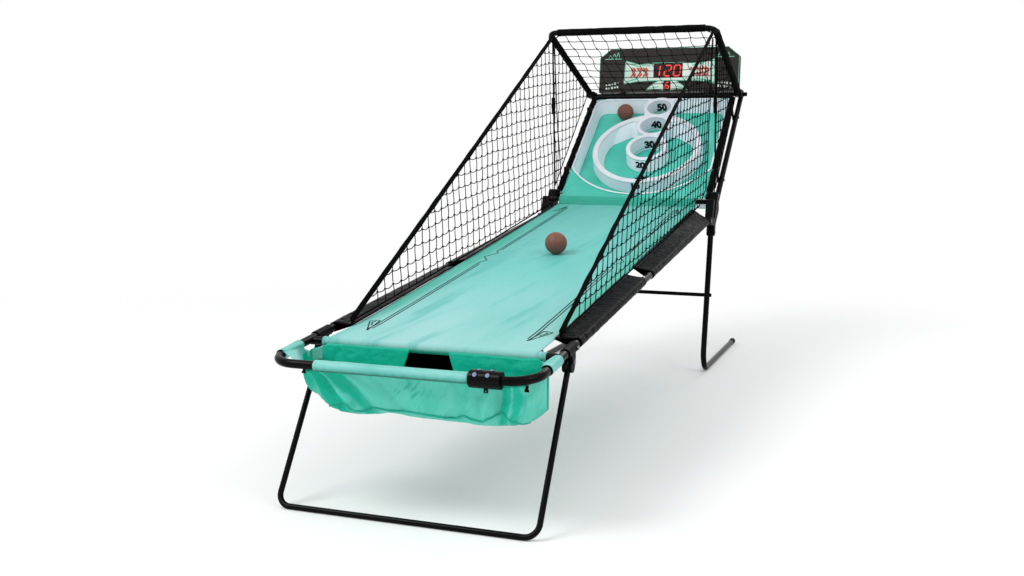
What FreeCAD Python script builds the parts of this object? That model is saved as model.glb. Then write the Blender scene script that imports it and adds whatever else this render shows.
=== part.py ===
import FreeCAD, Part
import math
import os

# Home roll-a-ball target game on steel tube legs, in millimetres.
# While modelled, X points right, Y back and Z up, and Y is 0 at the front bar's centre line.
# At the end everything moves along Y so that the origin lies on the floor under the middle.

V = FreeCAD.Vector

# Frame tubes
tube_radius = 9.5
tube_wall = 1.2
light_radius = 6.35
light_wall = 1.0
panel_radius = 8.0
half_width = 295.0
front_height = 322.0
rail_rise = 6.41
rail_length = 1812.0
front_bend = 60.0
side_wall = 3.5
joint_y = 890.0
fit_gap = 0.05
soft_gap = 0.3
cloth = 1.5

# Rail joint
spigot_length = 70.0
button_radius = 4.0
button_stand = 4.0
button_seat = 2.3
button_flange = 0.8

# Front leg and its brackets
pivot_y = 222.0
pivot_drop = 24.0
leg_foot_y = 24.0
leg_bend = 30.0
leg_tail = 8.0
cheek_thick = 4.0
cheek_gap = 0.3
cheek_radius = 12.0
collar_wall = 2.6
collar_length = 60.0
bolt_radius = 3.0
screw_head = 2.5
screw_radius = 5.0
head_height = 3.0
head_radius = 6.0
stop_start = 11.0
stop_thick = 3.0

# Rear legs, measured back and up from the rails' end
rear_foot_back = 524.0
rear_corner_back = -96.0
knee_back = 15.0
knee_up = -15.57
leg_top_back = 592.0
leg_top_up = 436.93
corner_bend = 60.0
knee_bend = 80.0
cap_wall = 1.5
cap_length = 34.0
cap_flat = 0.6
brace_z = 264.0
brace_overhang = 12.0

# Target frame, in its own slope, its foot measured from the rails' end
panel_foot_back = 49.0
panel_foot_up = 63.43
panel_length = 603.0
panel_slope = 38.07
panel_bend = 26.0
frame_bolt_s = 16.0

# Net frame, measured from the rails' end
arm_end_back = 554.0
arm_end_up = 438.43
net_bar_back = 6.0
net_bar_up = 641.43
net_bend = 30.0
pad_wall = 2.0
pad_margin = 50.0

# Lane and cloth
lane_y = 175.0
lane_tube_drop = 3.5
lane_margin = 49.0
hem_margin = 33.0
lane_lift = 1.2
lane_steeper = 0.01035
lane_sag = 6.9e-6
ramp_back = -10.0
ramp_up = 54.43
sleeve_gap_half = 40.0
sleeve_front_y = 272.0
sleeve_rear_back = -82.0

# Ball and return chute
ball_radius = 32.0
ball_gap = 0.05
lane_ball = (-11.0, 1057.0)
target_ball = (-135.0, 525.0)
chute_half = 70.0
chute_depth = 76.0

# Score unit
score_margin = 13.0
score_height = 175.0
score_shoulder = 139.0
score_corner = 44.0
score_depth = 36.0
score_lean = 7.0
score_back = 600.0
score_up = 458.43
shell_wall = 2.5

# Control box on the front bar
box_left = 163.0
box_right = 230.0
box_radius = 18.0
box_wall = 2.2
key_tilt = 38.0

parts = {}
screws = []
caps = []


def rail_z(y):
    """Height of the side rails' centre line."""
    return front_height + math.tan(math.radians(rail_rise)) * y


def lane_slope(y):
    """Slope of the lane cloth: it sags a little between its two tubes."""
    return math.tan(math.radians(rail_rise)) + lane_steeper + 2 * lane_sag * y


def lane_z(y):
    """Height of the stretched lane cloth's top face."""
    return front_height + lane_lift + (lane_slope(0) + lane_sag * y) * y


rail_end_z = rail_z(rail_length)
rear_foot_y = rail_length + rear_foot_back
rear_corner_y = rail_length + rear_corner_back
knee_y = rail_length + knee_back
knee_z = rail_end_z + knee_up
leg_top_y = rail_length + leg_top_back
leg_top_z = rail_end_z + leg_top_up
panel_foot_y = rail_length + panel_foot_back
panel_foot_z = rail_end_z + panel_foot_up
arm_end_y = rail_length + arm_end_back
arm_end_z = rail_end_z + arm_end_up
net_bar_y = rail_length + net_bar_back
net_bar_z = rail_end_z + net_bar_up
ramp_y = rail_length + ramp_back
ramp_z = rail_end_z + ramp_up
sleeve_rear_y = rail_length + sleeve_rear_back
score_y = rail_length + score_back
score_z = rail_end_z + score_up
pad_half = half_width - pad_margin
lane_half = half_width - lane_margin
hem_half = half_width - hem_margin
score_half = half_width - score_margin
score_top_half = score_half - score_corner
knuckle_half = tube_radius + side_wall
far_x = 2 * half_width


def slope_dir(angle):
    return V(0, math.cos(math.radians(angle)), math.sin(math.radians(angle)))


def slope_up(angle):
    return V(0, -math.sin(math.radians(angle)), math.cos(math.radians(angle)))


def fillet_path(points, radii):
    """Straight runs through the points, joined by tangent arcs of the given radii."""
    edges = []
    start = points[0]
    for index in range(1, len(points) - 1):
        corner = points[index]
        back = (points[index - 1] - corner).normalize()
        ahead = (points[index + 1] - corner).normalize()
        half = back.getAngle(ahead) / 2
        reach = radii[index - 1] / math.tan(half)
        first = corner + back * reach
        last = corner + ahead * reach
        middle_dir = (back + ahead).normalize()
        middle = corner + middle_dir * (radii[index - 1] / math.sin(half) - radii[index - 1])
        edges.append(Part.LineSegment(start, first).toShape())
        edges.append(Part.Arc(first, middle, last).toShape())
        start = last
    edges.append(Part.LineSegment(start, points[-1]).toShape())
    return Part.Wire(edges)


def sweep_round(points, radii, radius):
    path = fillet_path(points, radii)
    along = (points[1] - points[0]).normalize()
    ring = Part.Wire([Part.Circle(points[0], along, radius).toShape()])
    return path.makePipeShell([ring], True, False)


def tube(points, radii, radius, wall):
    """A bent tube, open at both ends."""
    return sweep_round(points, radii, radius).cut(sweep_round(points, radii, radius - wall))


def rod(start, end, radius):
    return Part.makeCylinder(radius, (end - start).Length, start, end - start)


def pipe(start, end, radius, wall):
    return rod(start, end, radius).cut(rod(start, end, radius - wall))


def side_point(side, y, z):
    return V(side * half_width, y, z)


def side_plate(outline, x_start, x_end):
    """A flat piece with an outline of (y, z) points, standing across X."""
    points = [V(x_start, y, z) for y, z in outline]
    face = Part.Face(Part.makePolygon(points + [points[0]]))
    return face.extrude(V(x_end - x_start, 0, 0))


def stadium(first, second, radius, x_start, x_end):
    """A plate with round ends between two points of the Y-Z plane."""
    thick = x_end - x_start
    along = V(0, second[0] - first[0], second[1] - first[1]).normalize()
    across = V(0, -along.z, along.y) * radius
    a = V(x_start, first[0], first[1])
    b = V(x_start, second[0], second[1])
    edges = [
        Part.LineSegment(a + across, b + across).toShape(),
        Part.Arc(b + across, b + along * radius, b - across).toShape(),
        Part.LineSegment(b - across, a - across).toShape(),
        Part.Arc(a - across, a - along * radius, a + across).toShape(),
    ]
    return Part.Face(Part.Wire(edges)).extrude(V(thick, 0, 0))


def fuse_all(shapes):
    whole = shapes[0]
    if len(shapes) > 1:
        whole = shapes[0].multiFuse(shapes[1:])
    return whole.removeSplitter()


def bolt_x(x_head, x_nut, y, z, radius):
    """A bolt along X: a round head at x_head, a plain nut disc at x_nut."""
    way = 1 if x_nut > x_head else -1
    height = radius * 1.1
    body = rod(V(x_head, y, z), V(x_nut, y, z), radius)
    head = rod(V(x_head - way * height, y, z), V(x_head, y, z), radius * 1.9)
    head = head.makeFillet(radius * 0.7, [head.Edges[0] if way > 0 else head.Edges[2]])
    nut = rod(V(x_nut, y, z), V(x_nut + way * height, y, z), radius * 1.8)
    return fuse_all([body, head, nut])


def round_head(seat, out):
    """A domed screw head that stands on a surface."""
    head = rod(seat, seat + out * head_height, head_radius)
    return head.makeFillet(head_height / 2, [longest_top_edge(head, out)])


def named_side(side):
    return "left" if side < 0 else "right"


# Rails: the front rail is one U, each rear rail plugs into it

spigot_radius = tube_radius - tube_wall - fit_gap


def make_rails():
    points = [
        side_point(-1, joint_y, rail_z(joint_y)),
        side_point(-1, 0, rail_z(0)),
        side_point(1, 0, rail_z(0)),
        side_point(1, joint_y, rail_z(joint_y)),
    ]
    front = tube(points, [front_bend, front_bend], tube_radius, tube_wall)
    up = slope_up(rail_rise)
    along = slope_dir(rail_rise)
    button_y = joint_y - spigot_length * 0.4
    for side in (-1, 1):
        start = side_point(side, joint_y, rail_z(joint_y))
        end = side_point(side, rail_length, rail_z(rail_length))
        rear = rod(start, end, tube_radius)
        spigot = rod(start - along * spigot_length, start, spigot_radius)
        bore = rod(start - along * spigot_length, end, spigot_radius - tube_wall)
        rear = rear.fuse(spigot).cut(bore).removeSplitter()
        centre = side_point(side, button_y, rail_z(button_y))
        hole = rod(centre, centre + up * 20, button_radius + fit_gap)
        front = front.cut(hole)
        parts["rear_rail_" + named_side(side)] = rear.cut(hole)
        seat = spigot_radius - tube_wall - button_seat
        button = rod(centre + up * seat, centre + up * (tube_radius + button_stand), button_radius)
        button = button.makeFillet(button_radius * 0.8, [longest_top_edge(button, up)])
        flange = rod(centre + up * (seat - 1), centre + up * seat, button_radius + button_flange)
        parts["snap_button_" + named_side(side)] = button.fuse(flange).removeSplitter()
    parts["front_rail"] = front


def longest_top_edge(shape, up):
    """The round edge that lies furthest along the direction up."""
    rounds = [e for e in shape.Edges if e.isClosed()]
    return max(rounds, key=lambda e: e.CenterOfMass.dot(up))


# Front leg: one U tube that folds on two bolts

pivot_z = rail_z(pivot_y) - pivot_drop
leg_lean = math.degrees(math.atan2(pivot_y - leg_foot_y, pivot_z - light_radius))
leg_down = V(0, -math.sin(math.radians(leg_lean)), -math.cos(math.radians(leg_lean)))
leg_front = V(0, -math.cos(math.radians(leg_lean)), math.sin(math.radians(leg_lean)))


def make_front_leg():
    tops = [side_point(side, pivot_y, pivot_z) - leg_down * leg_tail for side in (-1, 1)]
    feet = [side_point(side, leg_foot_y, light_radius) for side in (-1, 1)]
    leg = tube([tops[0], feet[0], feet[1], tops[1]], [leg_bend, leg_bend], light_radius, light_wall)
    for side in (-1, 1):
        a = V(side * half_width - 20, pivot_y, pivot_z)
        b = V(side * half_width + 20, pivot_y, pivot_z)
        leg = leg.cut(rod(a, b, bolt_radius + fit_gap))
        end = tops[0] if side < 0 else tops[1]
        plug = rod(end + leg_down * 1.5, end, light_radius - light_wall)
        leg = leg.fuse(plug)
    parts["front_leg"] = leg.removeSplitter()
    bolts = []
    for side in (-1, 1):
        parts["leg_bracket_" + named_side(side)] = leg_bracket(side)
        reach = light_radius + cheek_gap + cheek_thick
        outer = side * (half_width + reach)
        inner = side * (half_width - reach)
        bolts.append(bolt_x(outer, inner, pivot_y, pivot_z, bolt_radius))
        screw_y = pivot_y + collar_length / 2 - 9
        centre = side_point(side, screw_y, rail_z(screw_y))
        out = V(side, 0, 0)
        seat = centre + out * (tube_radius + collar_wall)
        screws.append(rod(seat, seat + out * screw_head, screw_radius))
    parts["leg_pivot_bolts"] = Part.makeCompound(bolts)


def leg_bracket(side):
    """A collar round the rail with two cheeks and a stop web that the leg leans on."""
    along = slope_dir(rail_rise)
    centre = side_point(side, pivot_y, rail_z(pivot_y))
    reach = along * collar_length / 2
    collar = rod(centre - reach, centre + reach, tube_radius + collar_wall)
    pivot = (pivot_y, pivot_z)
    top = (pivot_y, rail_z(pivot_y) - tube_radius)
    low = (pivot_y + leg_down.y * 12, pivot_z + leg_down.z * 12)
    cheeks = []
    for way in (-1, 1):
        near = side * half_width + way * (light_radius + cheek_gap)
        far = near + way * cheek_thick
        x_low, x_high = min(near, far), max(near, far)
        cheeks.append(stadium(pivot, low, cheek_radius, x_low, x_high))
        cheeks.append(stadium(top, pivot, cheek_radius, x_low, x_high))
    web_start = V(side * half_width, pivot_y, pivot_z) + leg_down * stop_start
    web_start += leg_front * (light_radius + fit_gap)
    web_half = light_radius + cheek_gap + cheek_thick / 2
    corners = [
        web_start,
        web_start + leg_down * stop_start,
        web_start + leg_down * stop_start + leg_front * stop_thick,
        web_start + leg_front * stop_thick,
    ]
    outline = [(p.y, p.z) for p in corners]
    web = side_plate(outline, side * half_width - web_half, side * half_width + web_half)
    body = fuse_all([collar] + cheeks + [web])
    hole_y = rod(centre - along * collar_length, centre + along * collar_length, tube_radius + fit_gap)
    cross = V(side * half_width - 30, pivot_y, pivot_z)
    bore = rod(cross, cross + V(60, 0, 0), bolt_radius + fit_gap)
    return body.cut(hole_y).cut(bore)


# Rear legs, their caps and braces

rear_base_z = tube_radius + cap_wall - cap_flat
knee = (knee_y, knee_z)
leg_slope = math.degrees(math.atan2(leg_top_z - knee_z, leg_top_y - knee_y))


def shin_y(z):
    """Where the lower part of the rear leg's centre line stands at a height."""
    share = (z - rear_base_z) / (knee_z - rear_base_z)
    return rear_corner_y + share * (knee_y - rear_corner_y)


brace_y = shin_y(brace_z)


def make_rear_legs():
    feet = []
    brace_reach = half_width + brace_overhang
    for side in (-1, 1):
        points = rear_leg_points(side)
        leg = tube(points, [corner_bend, knee_bend], tube_radius, tube_wall)
        a = V(side * half_width - 20, brace_y, brace_z)
        leg = leg.cut(rod(a, a + V(40, 0, 0), light_radius + fit_gap))
        parts["rear_leg_" + named_side(side)] = leg
        feet.append(foot_cap(points[0], V(0, 1, 0)))
        caps.append(tube_cap(points[3], slope_dir(leg_slope), tube_radius))
        end = V(side * brace_reach, brace_y, brace_z)
        caps.append(tube_cap(end, V(side, 0, 0), light_radius))
    parts["foot_caps"] = Part.makeCompound(feet)
    brace_start = V(-brace_reach, brace_y, brace_z)
    brace_end = V(brace_reach, brace_y, brace_z)
    parts["rear_cross_bar"] = pipe(brace_start, brace_end, light_radius, light_wall)


def foot_cap(end, outward):
    """A round rubber cap over the tube's end, cut flat where it stands."""
    outer = rod(end - outward * (cap_length - 4), end + outward * 4, tube_radius + cap_wall)
    outer = outer.makeFillet(3.5, [longest_top_edge(outer, outward)])
    cap = outer.cut(rod(end - outward * cap_length, end, tube_radius + fit_gap))
    return cap.common(Part.makeBox(80, 200, 100, V(end.x - 40, end.y - 150, 0)))


def tube_cap(end, outward, radius):
    """A domed plug: a thin flange on the tube's end and a stub inside it."""
    wall = tube_wall if radius > light_radius else light_wall
    flange = rod(end, end + outward * 3, radius)
    flange = flange.makeFillet(2.2, [longest_top_edge(flange, outward)])
    stub = rod(end - outward * 10, end, radius - wall - fit_gap)
    return fuse_all([flange, stub])


# Knuckles, where rail, rear leg and target frame meet

panel_half = half_width - knuckle_half - panel_radius


def board_point(x, s, h):
    """A point of the target: s runs up its slope, h stands out of it."""
    base = V(x, panel_foot_y, panel_foot_z)
    return base + slope_dir(panel_slope) * s + slope_up(panel_slope) * h


def yz(point):
    return (point.y, point.z)


def rail_point(side, y):
    return side_point(side, y, rail_z(y))


def rear_leg_points(side):
    return [
        side_point(side, rear_foot_y, rear_base_z),
        side_point(side, rear_corner_y, rear_base_z),
        side_point(side, knee_y, knee_z),
        side_point(side, leg_top_y, leg_top_z),
    ]


def rear_leg_space(side):
    return sweep_round(rear_leg_points(side), [corner_bend, knee_bend], tube_radius + fit_gap)


def rail_space(side):
    return rod(rail_point(side, rail_length - 300), rail_point(side, rail_length), tube_radius + fit_gap)


def make_knuckles():
    for side in (-1, 1):
        x_low = side * half_width - knuckle_half
        x_high = side * half_width + knuckle_half
        rail_start = (rail_length - 62, rail_z(rail_length - 62))
        shin = (shin_y(knee_z - 34), knee_z - 34)
        thigh = side_point(side, knee_y, knee_z) + slope_dir(leg_slope) * 70
        panel_end = board_point(0, frame_bolt_s, 0)
        reach = tube_radius + side_wall
        arms = [
            stadium(rail_start, knee, reach, x_low, x_high),
            stadium(shin, knee, reach, x_low, x_high),
            stadium(knee, yz(thigh), reach, x_low, x_high),
            stadium(knee, yz(panel_end), reach, x_low, x_high),
            stadium(yz(thigh), yz(panel_end), reach, x_low, x_high),
        ]
        block = fuse_all(arms)
        parts["knuckle_" + named_side(side)] = block.cut(rear_leg_space(side)).cut(rail_space(side))
        panel_bolt = board_point(side * panel_half, frame_bolt_s, 0)
        head = side * (half_width + knuckle_half)
        tail = side * (panel_half - panel_radius)
        screws.append(bolt_x(head, tail, panel_bolt.y, panel_bolt.z, bolt_radius))
        for y, z in [rail_start, shin]:
            out = V(side, 0, 0)
            centre = V(head, y, z)
            screws.append(round_head(centre, out))
        space = rod(V(head, panel_bolt.y, panel_bolt.z), V(tail, panel_bolt.y, panel_bolt.z), bolt_radius)
        parts["knuckle_" + named_side(side)] = parts["knuckle_" + named_side(side)].cut(space)


# Target frame, its standoffs and the top cross bar

standoff_stations = (150.0, 520.0)
standoff_width = 22.0
frame_gap = tube_radius + panel_radius


def panel_offset(s):
    """Distance along the target's normal from the target frame down to the rear leg's centre line."""
    point = board_point(0, s, 0)
    start = V(0, knee_y, knee_z)
    normal = slope_up(leg_slope)
    return (point - start).dot(normal)


def make_target_frame():
    points = [
        board_point(-panel_half, 0, 0),
        board_point(-panel_half, panel_length, 0),
        board_point(panel_half, panel_length, 0),
        board_point(panel_half, 0, 0),
    ]
    frame = tube(points, [panel_bend, panel_bend], panel_radius, tube_wall)
    plates = []
    for side in (-1, 1):
        spot = board_point(side * panel_half, frame_bolt_s, 0)
        frame = frame.cut(rod(V(0, spot.y, spot.z), V(side * half_width, spot.y, spot.z), bolt_radius))
        inner = side * (panel_half + panel_radius)
        outer = side * (half_width - tube_radius)
        for station in standoff_stations:
            top = board_point(0, station, 0)
            bottom = board_point(0, station, -panel_offset(station))
            plate = stadium(yz(bottom), yz(top), standoff_width / 2, min(inner, outer), max(inner, outer))
            plates.append(plate)
            for point, start, way in ((top, inner, -1), (bottom, outer, 1)):
                a = V(start, point.y, point.z)
                tube_dia = 2 * (panel_radius if way < 0 else tube_radius)
                head = V(start + way * side * tube_dia, point.y, point.z)
                screws.append(rod(head, head + V(way * side * 2.5, 0, 0), 4.5))
    parts["target_frame"] = frame
    parts["frame_standoffs"] = Part.makeCompound(plates)


bar_reach = half_width + 23.0
bar_setback = 12.0


def bar_centre():
    """The top cross bar lies on the upper faces of both rear legs, near their ends."""
    top = V(0, leg_top_y, leg_top_z)
    return top - slope_dir(leg_slope) * bar_setback + slope_up(leg_slope) * (tube_radius + panel_radius)


def bar_space():
    centre = bar_centre()
    return rod(V(-far_x, centre.y, centre.z), V(far_x, centre.y, centre.z), panel_radius + fit_gap)


def make_top_bar():
    centre = bar_centre()
    start = V(-bar_reach, centre.y, centre.z)
    end = V(bar_reach, centre.y, centre.z)
    parts["top_cross_bar"] = pipe(start, end, panel_radius, tube_wall)
    for side in (-1, 1):
        caps.append(tube_cap(V(side * bar_reach, centre.y, centre.z), V(side, 0, 0), panel_radius))
        up = slope_up(leg_slope)
        top = V(side * half_width, centre.y, centre.z) + up * panel_radius
        screws.append(round_head(top, up))


# Net frame, one bent tube on two elbows

elbow_half = tube_radius + 2.9


def make_net_frame():
    centre = bar_centre()
    points = [
        side_point(-1, arm_end_y, arm_end_z),
        side_point(-1, net_bar_y, net_bar_z),
        side_point(1, net_bar_y, net_bar_z),
        side_point(1, arm_end_y, arm_end_z),
    ]
    parts["net_frame"] = tube(points, [net_bend, net_bend], tube_radius, tube_wall)
    pad_start = V(-pad_half, net_bar_y, net_bar_z)
    pad_end = V(pad_half, net_bar_y, net_bar_z)
    pad = rod(pad_start, pad_end, tube_radius + soft_gap + pad_wall)
    elbows = []
    parts["net_bar_sleeve"] = pad.cut(rod(pad_start, pad_end, tube_radius + soft_gap))
    leg_spaces = [
        rod(side_point(s, knee_y, knee_z), side_point(s, leg_top_y, leg_top_z), tube_radius + soft_gap)
        for s in (-1, 1)
    ]
    along = (points[1] - points[0]).normalize()
    for side in (-1, 1):
        end = side_point(side, arm_end_y, arm_end_z)
        socket = end + along * 26
        x_low = side * half_width - elbow_half
        x_high = side * half_width + elbow_half
        elbow = stadium(yz(socket), (centre.y, centre.z), tube_radius + 3, x_low, x_high)
        arm_space = rod(end, end + along * 200, tube_radius + fit_gap)
        elbow = elbow.cut(arm_space).cut(bar_space()).cut(leg_spaces[0 if side < 0 else 1])
        screw = V(side * half_width, centre.y, centre.z)
        elbow = elbow.cut(rod(screw, screw + slope_up(leg_slope) * 30, 6.3))
        elbows.append(max(elbow.Solids, key=lambda solid: solid.Volume))
    parts["net_elbows"] = Part.makeCompound(elbows)


# Cross tubes of the lane, coped to the rails

lane_tube_z = rail_z(lane_y) - lane_tube_drop


def make_lane_tubes():
    start = V(-half_width, lane_y, lane_tube_z)
    end = V(half_width, lane_y, lane_tube_z)
    bar = pipe(start, end, tube_radius, tube_wall)
    for side in (-1, 1):
        a = side_point(side, 0, rail_z(0))
        b = side_point(side, lane_y * 2, rail_z(lane_y * 2))
        bar = bar.cut(rod(a, b, tube_radius))
    parts["lane_front_tube"] = bar
    reach = half_width - knuckle_half
    ramp = pipe(V(-reach, ramp_y, ramp_z), V(reach, ramp_y, ramp_z), panel_radius, tube_wall)
    parts["ramp_tube"] = ramp
    for side in (-1, 1):
        low = side * reach
        high = side * (reach + 2 * knuckle_half)
        top = (ramp_y, ramp_z)
        foot = (rail_length - 30, rail_z(rail_length - 30) + 2)
        ear = stadium(foot, top, panel_radius + 2, min(low, high), max(low, high))
        ear = ear.cut(rail_space(side)).cut(rear_leg_space(side))
        name = "knuckle_" + named_side(side)
        parts[name] = fuse_all([parts[name], ear])


# Lane and ramp cloth

crease_y = ramp_y - 14.0


def curve_line(height, y_start, y_end, drop, step_count):
    """Points of a long gentle curve, as (y, z)."""
    step = (y_end - y_start) / step_count
    ys = [y_start + step * i for i in range(step_count + 1)]
    return [(y, height(y) - drop) for y in ys]


def make_lane():
    outer = tube_radius + soft_gap + cloth
    ring = rod(V(-hem_half, lane_y, lane_tube_z), V(hem_half, lane_y, lane_tube_z), outer)
    top = curve_line(lane_z, lane_y, crease_y, 0, 12)
    bottom = curve_line(lane_z, lane_y, crease_y, cloth, 12)
    top[0] = (lane_y, lane_tube_z + outer)
    bottom[0] = (lane_y, lane_tube_z + outer - cloth)
    band = side_plate(top + bottom[::-1], -lane_half, lane_half)
    hollow = rod(V(-far_x, lane_y, lane_tube_z), V(far_x, lane_y, lane_tube_z), outer - cloth)
    parts["lane_cloth"] = band.fuse(ring).cut(hollow).removeSplitter()

    over = panel_radius + soft_gap
    edge = board_point(0, 0, 0)
    lift = over + cloth
    low_y = crease_y + 0.4
    outline = [
        (low_y, lane_z(crease_y)),
        (ramp_y - lift * 0.8, ramp_z + lift * 0.62),
        (ramp_y - lift * 0.2, ramp_z + lift),
        (edge.y - panel_radius - 1.2, edge.z + 0.5),
        (edge.y - panel_radius - 1.0, edge.z + 0.5 - cloth),
        (ramp_y - over * 0.1, ramp_z + over),
        (ramp_y - over * 0.84, ramp_z + over * 0.6),
        (low_y, lane_z(crease_y) - cloth),
    ]
    ramp = side_plate(outline, -lane_half, lane_half)
    space = rod(V(-far_x, ramp_y, ramp_z), V(far_x, ramp_y, ramp_z), over)
    parts["ramp_cloth"] = ramp.cut(space)


# Vinyl sleeves over the side rails, from the lane's edge round the tube

def sleeve_section(side, y, grow):
    """One section of the sleeve: a flat wing that lies on the lane and a round end over the tube."""
    radius = tube_radius + soft_gap + grow
    half_wing = 0.3 + grow
    centre = side_point(side, y, rail_z(y))
    out = V(side, 0, 0)
    up = V(0, 0, 1)

    def around(angle):
        return centre + (out * math.cos(angle) + up * math.sin(angle)) * radius

    wing_x = side * (lane_half + soft_gap + cloth - grow)
    wing_z = lane_z(y) + soft_gap + 0.3 + cloth
    wing_top = V(wing_x, y, wing_z + half_wing)
    wing_low = V(wing_x, y, wing_z - half_wing)

    def tangent(point, way):
        reach = point - centre
        aim = math.atan2(reach.dot(up), reach.dot(out))
        return aim + way * math.acos(radius / reach.Length)

    top = tangent(wing_top, -1)
    low = tangent(wing_low, 1)
    if top < 0:
        top += 2 * math.pi
    while low > top:
        low -= 2 * math.pi
    middle = (top + low) / 2
    edges = [
        Part.LineSegment(wing_top, around(top)).toShape(),
        Part.Arc(around(top), around((top + middle) / 2), around(middle)).toShape(),
        Part.Arc(around(middle), around((middle + low) / 2), around(low)).toShape(),
        Part.LineSegment(around(low), wing_low).toShape(),
        Part.LineSegment(wing_low, wing_top).toShape(),
    ]
    return Part.Wire(edges)


def make_sleeves():
    spans = {
        "front": (sleeve_front_y, joint_y - sleeve_gap_half),
        "rear": (joint_y + sleeve_gap_half, sleeve_rear_y),
    }
    for side in (-1, 1):
        for name, (start, end) in spans.items():
            ys = [start + (end - start) * i / 4 for i in range(5)]
            outer = Part.makeLoft([sleeve_section(side, y, cloth) for y in ys], True, True)
            inner_ys = [start - 5] + ys[1:-1] + [end + 5]
            inner = Part.makeLoft([sleeve_section(side, y, 0) for y in inner_ys], True, True)
            parts["rail_sleeve_%s_%s" % (name, named_side(side))] = outer.cut(inner)


# Front bar sleeve and the loops that hang the pouch on the rails

bar_sleeve_left = -182.0
loop_start = 88.0
loop_end = 150.0


def make_bar_sleeves():
    outer = tube_radius + soft_gap + cloth
    a = V(bar_sleeve_left, 0, front_height)
    b = V(box_left - 1, 0, front_height)
    sleeves = [rod(a, b, outer).cut(rod(a, b, outer - cloth))]
    for side in (-1, 1):
        a = side_point(side, loop_start, rail_z(loop_start))
        b = side_point(side, loop_end, rail_z(loop_end))
        sleeves.append(rod(a, b, outer).cut(rod(a, b, outer - cloth)))
    parts["bar_sleeves"] = Part.makeCompound(sleeves)


# Ball pouch: a sagging bag between the front bar, the rails and the lane's front tube

# place along X, depth of the lowest point under the front bar, forward bulge of the front wall's folds
pouch_stations = (
    (-283.3, 36.0, 0.0),
    (-258.0, 73.0, 2.0),
    (-232.0, 100.0, 5.0),
    (-190.0, 120.0, 1.0),
    (-140.0, 116.0, 6.0),
    (-86.0, 111.0, 2.0),
    (-40.0, 116.0, 7.0),
    (0.0, 118.0, 3.0),
    (38.0, 116.0, 7.0),
    (76.0, 116.0, 2.0),
    (112.0, 119.0, 7.0),
    (160.0, 119.0, 1.0),
    (200.0, 115.0, 7.0),
    (232.0, 108.0, 3.0),
    (262.0, 84.0, 2.0),
    (283.3, 38.0, 0.0),
)
pouch_half = half_width - tube_radius - 2.2
pouch_front_y = 2.0
pouch_back_y = lane_y - tube_radius - soft_gap - cloth - 0.5
pouch_front_z = front_height - tube_radius - 2.3
pouch_back_z = front_height + 15.0
pouch_bend = 38.0
pouch_corner_x = 232.0
pouch_corner_slope = 1.5


def pouch_section(x, depth, bulge, shrink, lift):
    """One section across the bag at a place along X, this low under the front bar."""
    front = pouch_front_y + shrink + max(0, abs(x) - pouch_corner_x) * pouch_corner_slope
    back = pouch_back_y - shrink
    floor_z = front_height - depth + shrink
    bend = min(pouch_bend, (pouch_front_z - floor_z) * 0.7)
    wall = min(front + 16 * bend / pouch_bend, back - 4 - 2 * bend)
    middle = V(x, (front + back) / 2, floor_z)
    front_top = V(x, front, pouch_front_z + lift)
    front_low = V(x, wall - bulge, floor_z + bend)
    back_low = V(x, back - 4, floor_z + bend * 1.15)
    back_top = V(x, back, pouch_back_z + lift)
    side_in = V(x, wall + bend * 0.28, floor_z + bend * 0.26)
    side_out = V(x, back - 4 - bend * 0.3, floor_z + bend * 0.3)
    points = [front_top, front_low, side_in, middle, side_out, back_low, back_top, front_top]
    return Part.makePolygon(points)


def make_pouch():
    outer_sections = []
    inner_sections = []
    reach = pouch_stations[-1][0]
    for place, depth, bulge in pouch_stations:
        x = place / reach * pouch_half
        inner_x = place / reach * (pouch_half - cloth)
        outer_sections.append(pouch_section(x, depth, bulge, 0, 0))
        inner_sections.append(pouch_section(inner_x, depth, bulge, cloth, 1))
    outer = Part.makeLoft(outer_sections, True, True)
    inner = Part.makeLoft(inner_sections, True, True)
    bag = outer.cut(inner)
    low_z = chute_floor_z(pouch_back_y) + 1
    high_z = pouch_back_z + 3
    mouth = [(-45, high_z), (45, high_z), (chute_half - 2, low_z), (2 - chute_half, low_z)]
    points = [V(x, pouch_back_y - 20, z) for x, z in mouth]
    face = Part.Face(Part.makePolygon(points + [points[0]]))
    bag = bag.cut(face.extrude(V(0, 30, 0)))
    box_start = V(box_left - 1, 0, front_height)
    bag = bag.cut(rod(box_start, V(box_right + 1, 0, front_height), box_radius + soft_gap))
    parts["ball_pouch"] = bag
    straps = []
    for x in (-228.0, box_right + 5.0):
        tab = Part.makeBox(8, 2, 22, V(x - 4, -1.2, front_height - tube_radius - 23))
        straps.append(fuse_all([tab, strap_loop(x)]))
    parts["pouch_straps"] = Part.makeCompound(straps)


def strap_loop(x):
    """A short band round the front bar."""
    a = V(x - 4, 0, front_height)
    b = V(x + 4, 0, front_height)
    return rod(a, b, tube_radius + 2.0).cut(rod(a, b, tube_radius + soft_gap))


# Return chute: a cloth trough sewn under the lane

chute_under_lane_y = crease_y - 16.0
hood_low_s = 46.0
hood_depth = 130.0
board_back_h = -50.5


def chute_floor_z(y):
    return lane_z(y) - chute_depth


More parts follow.
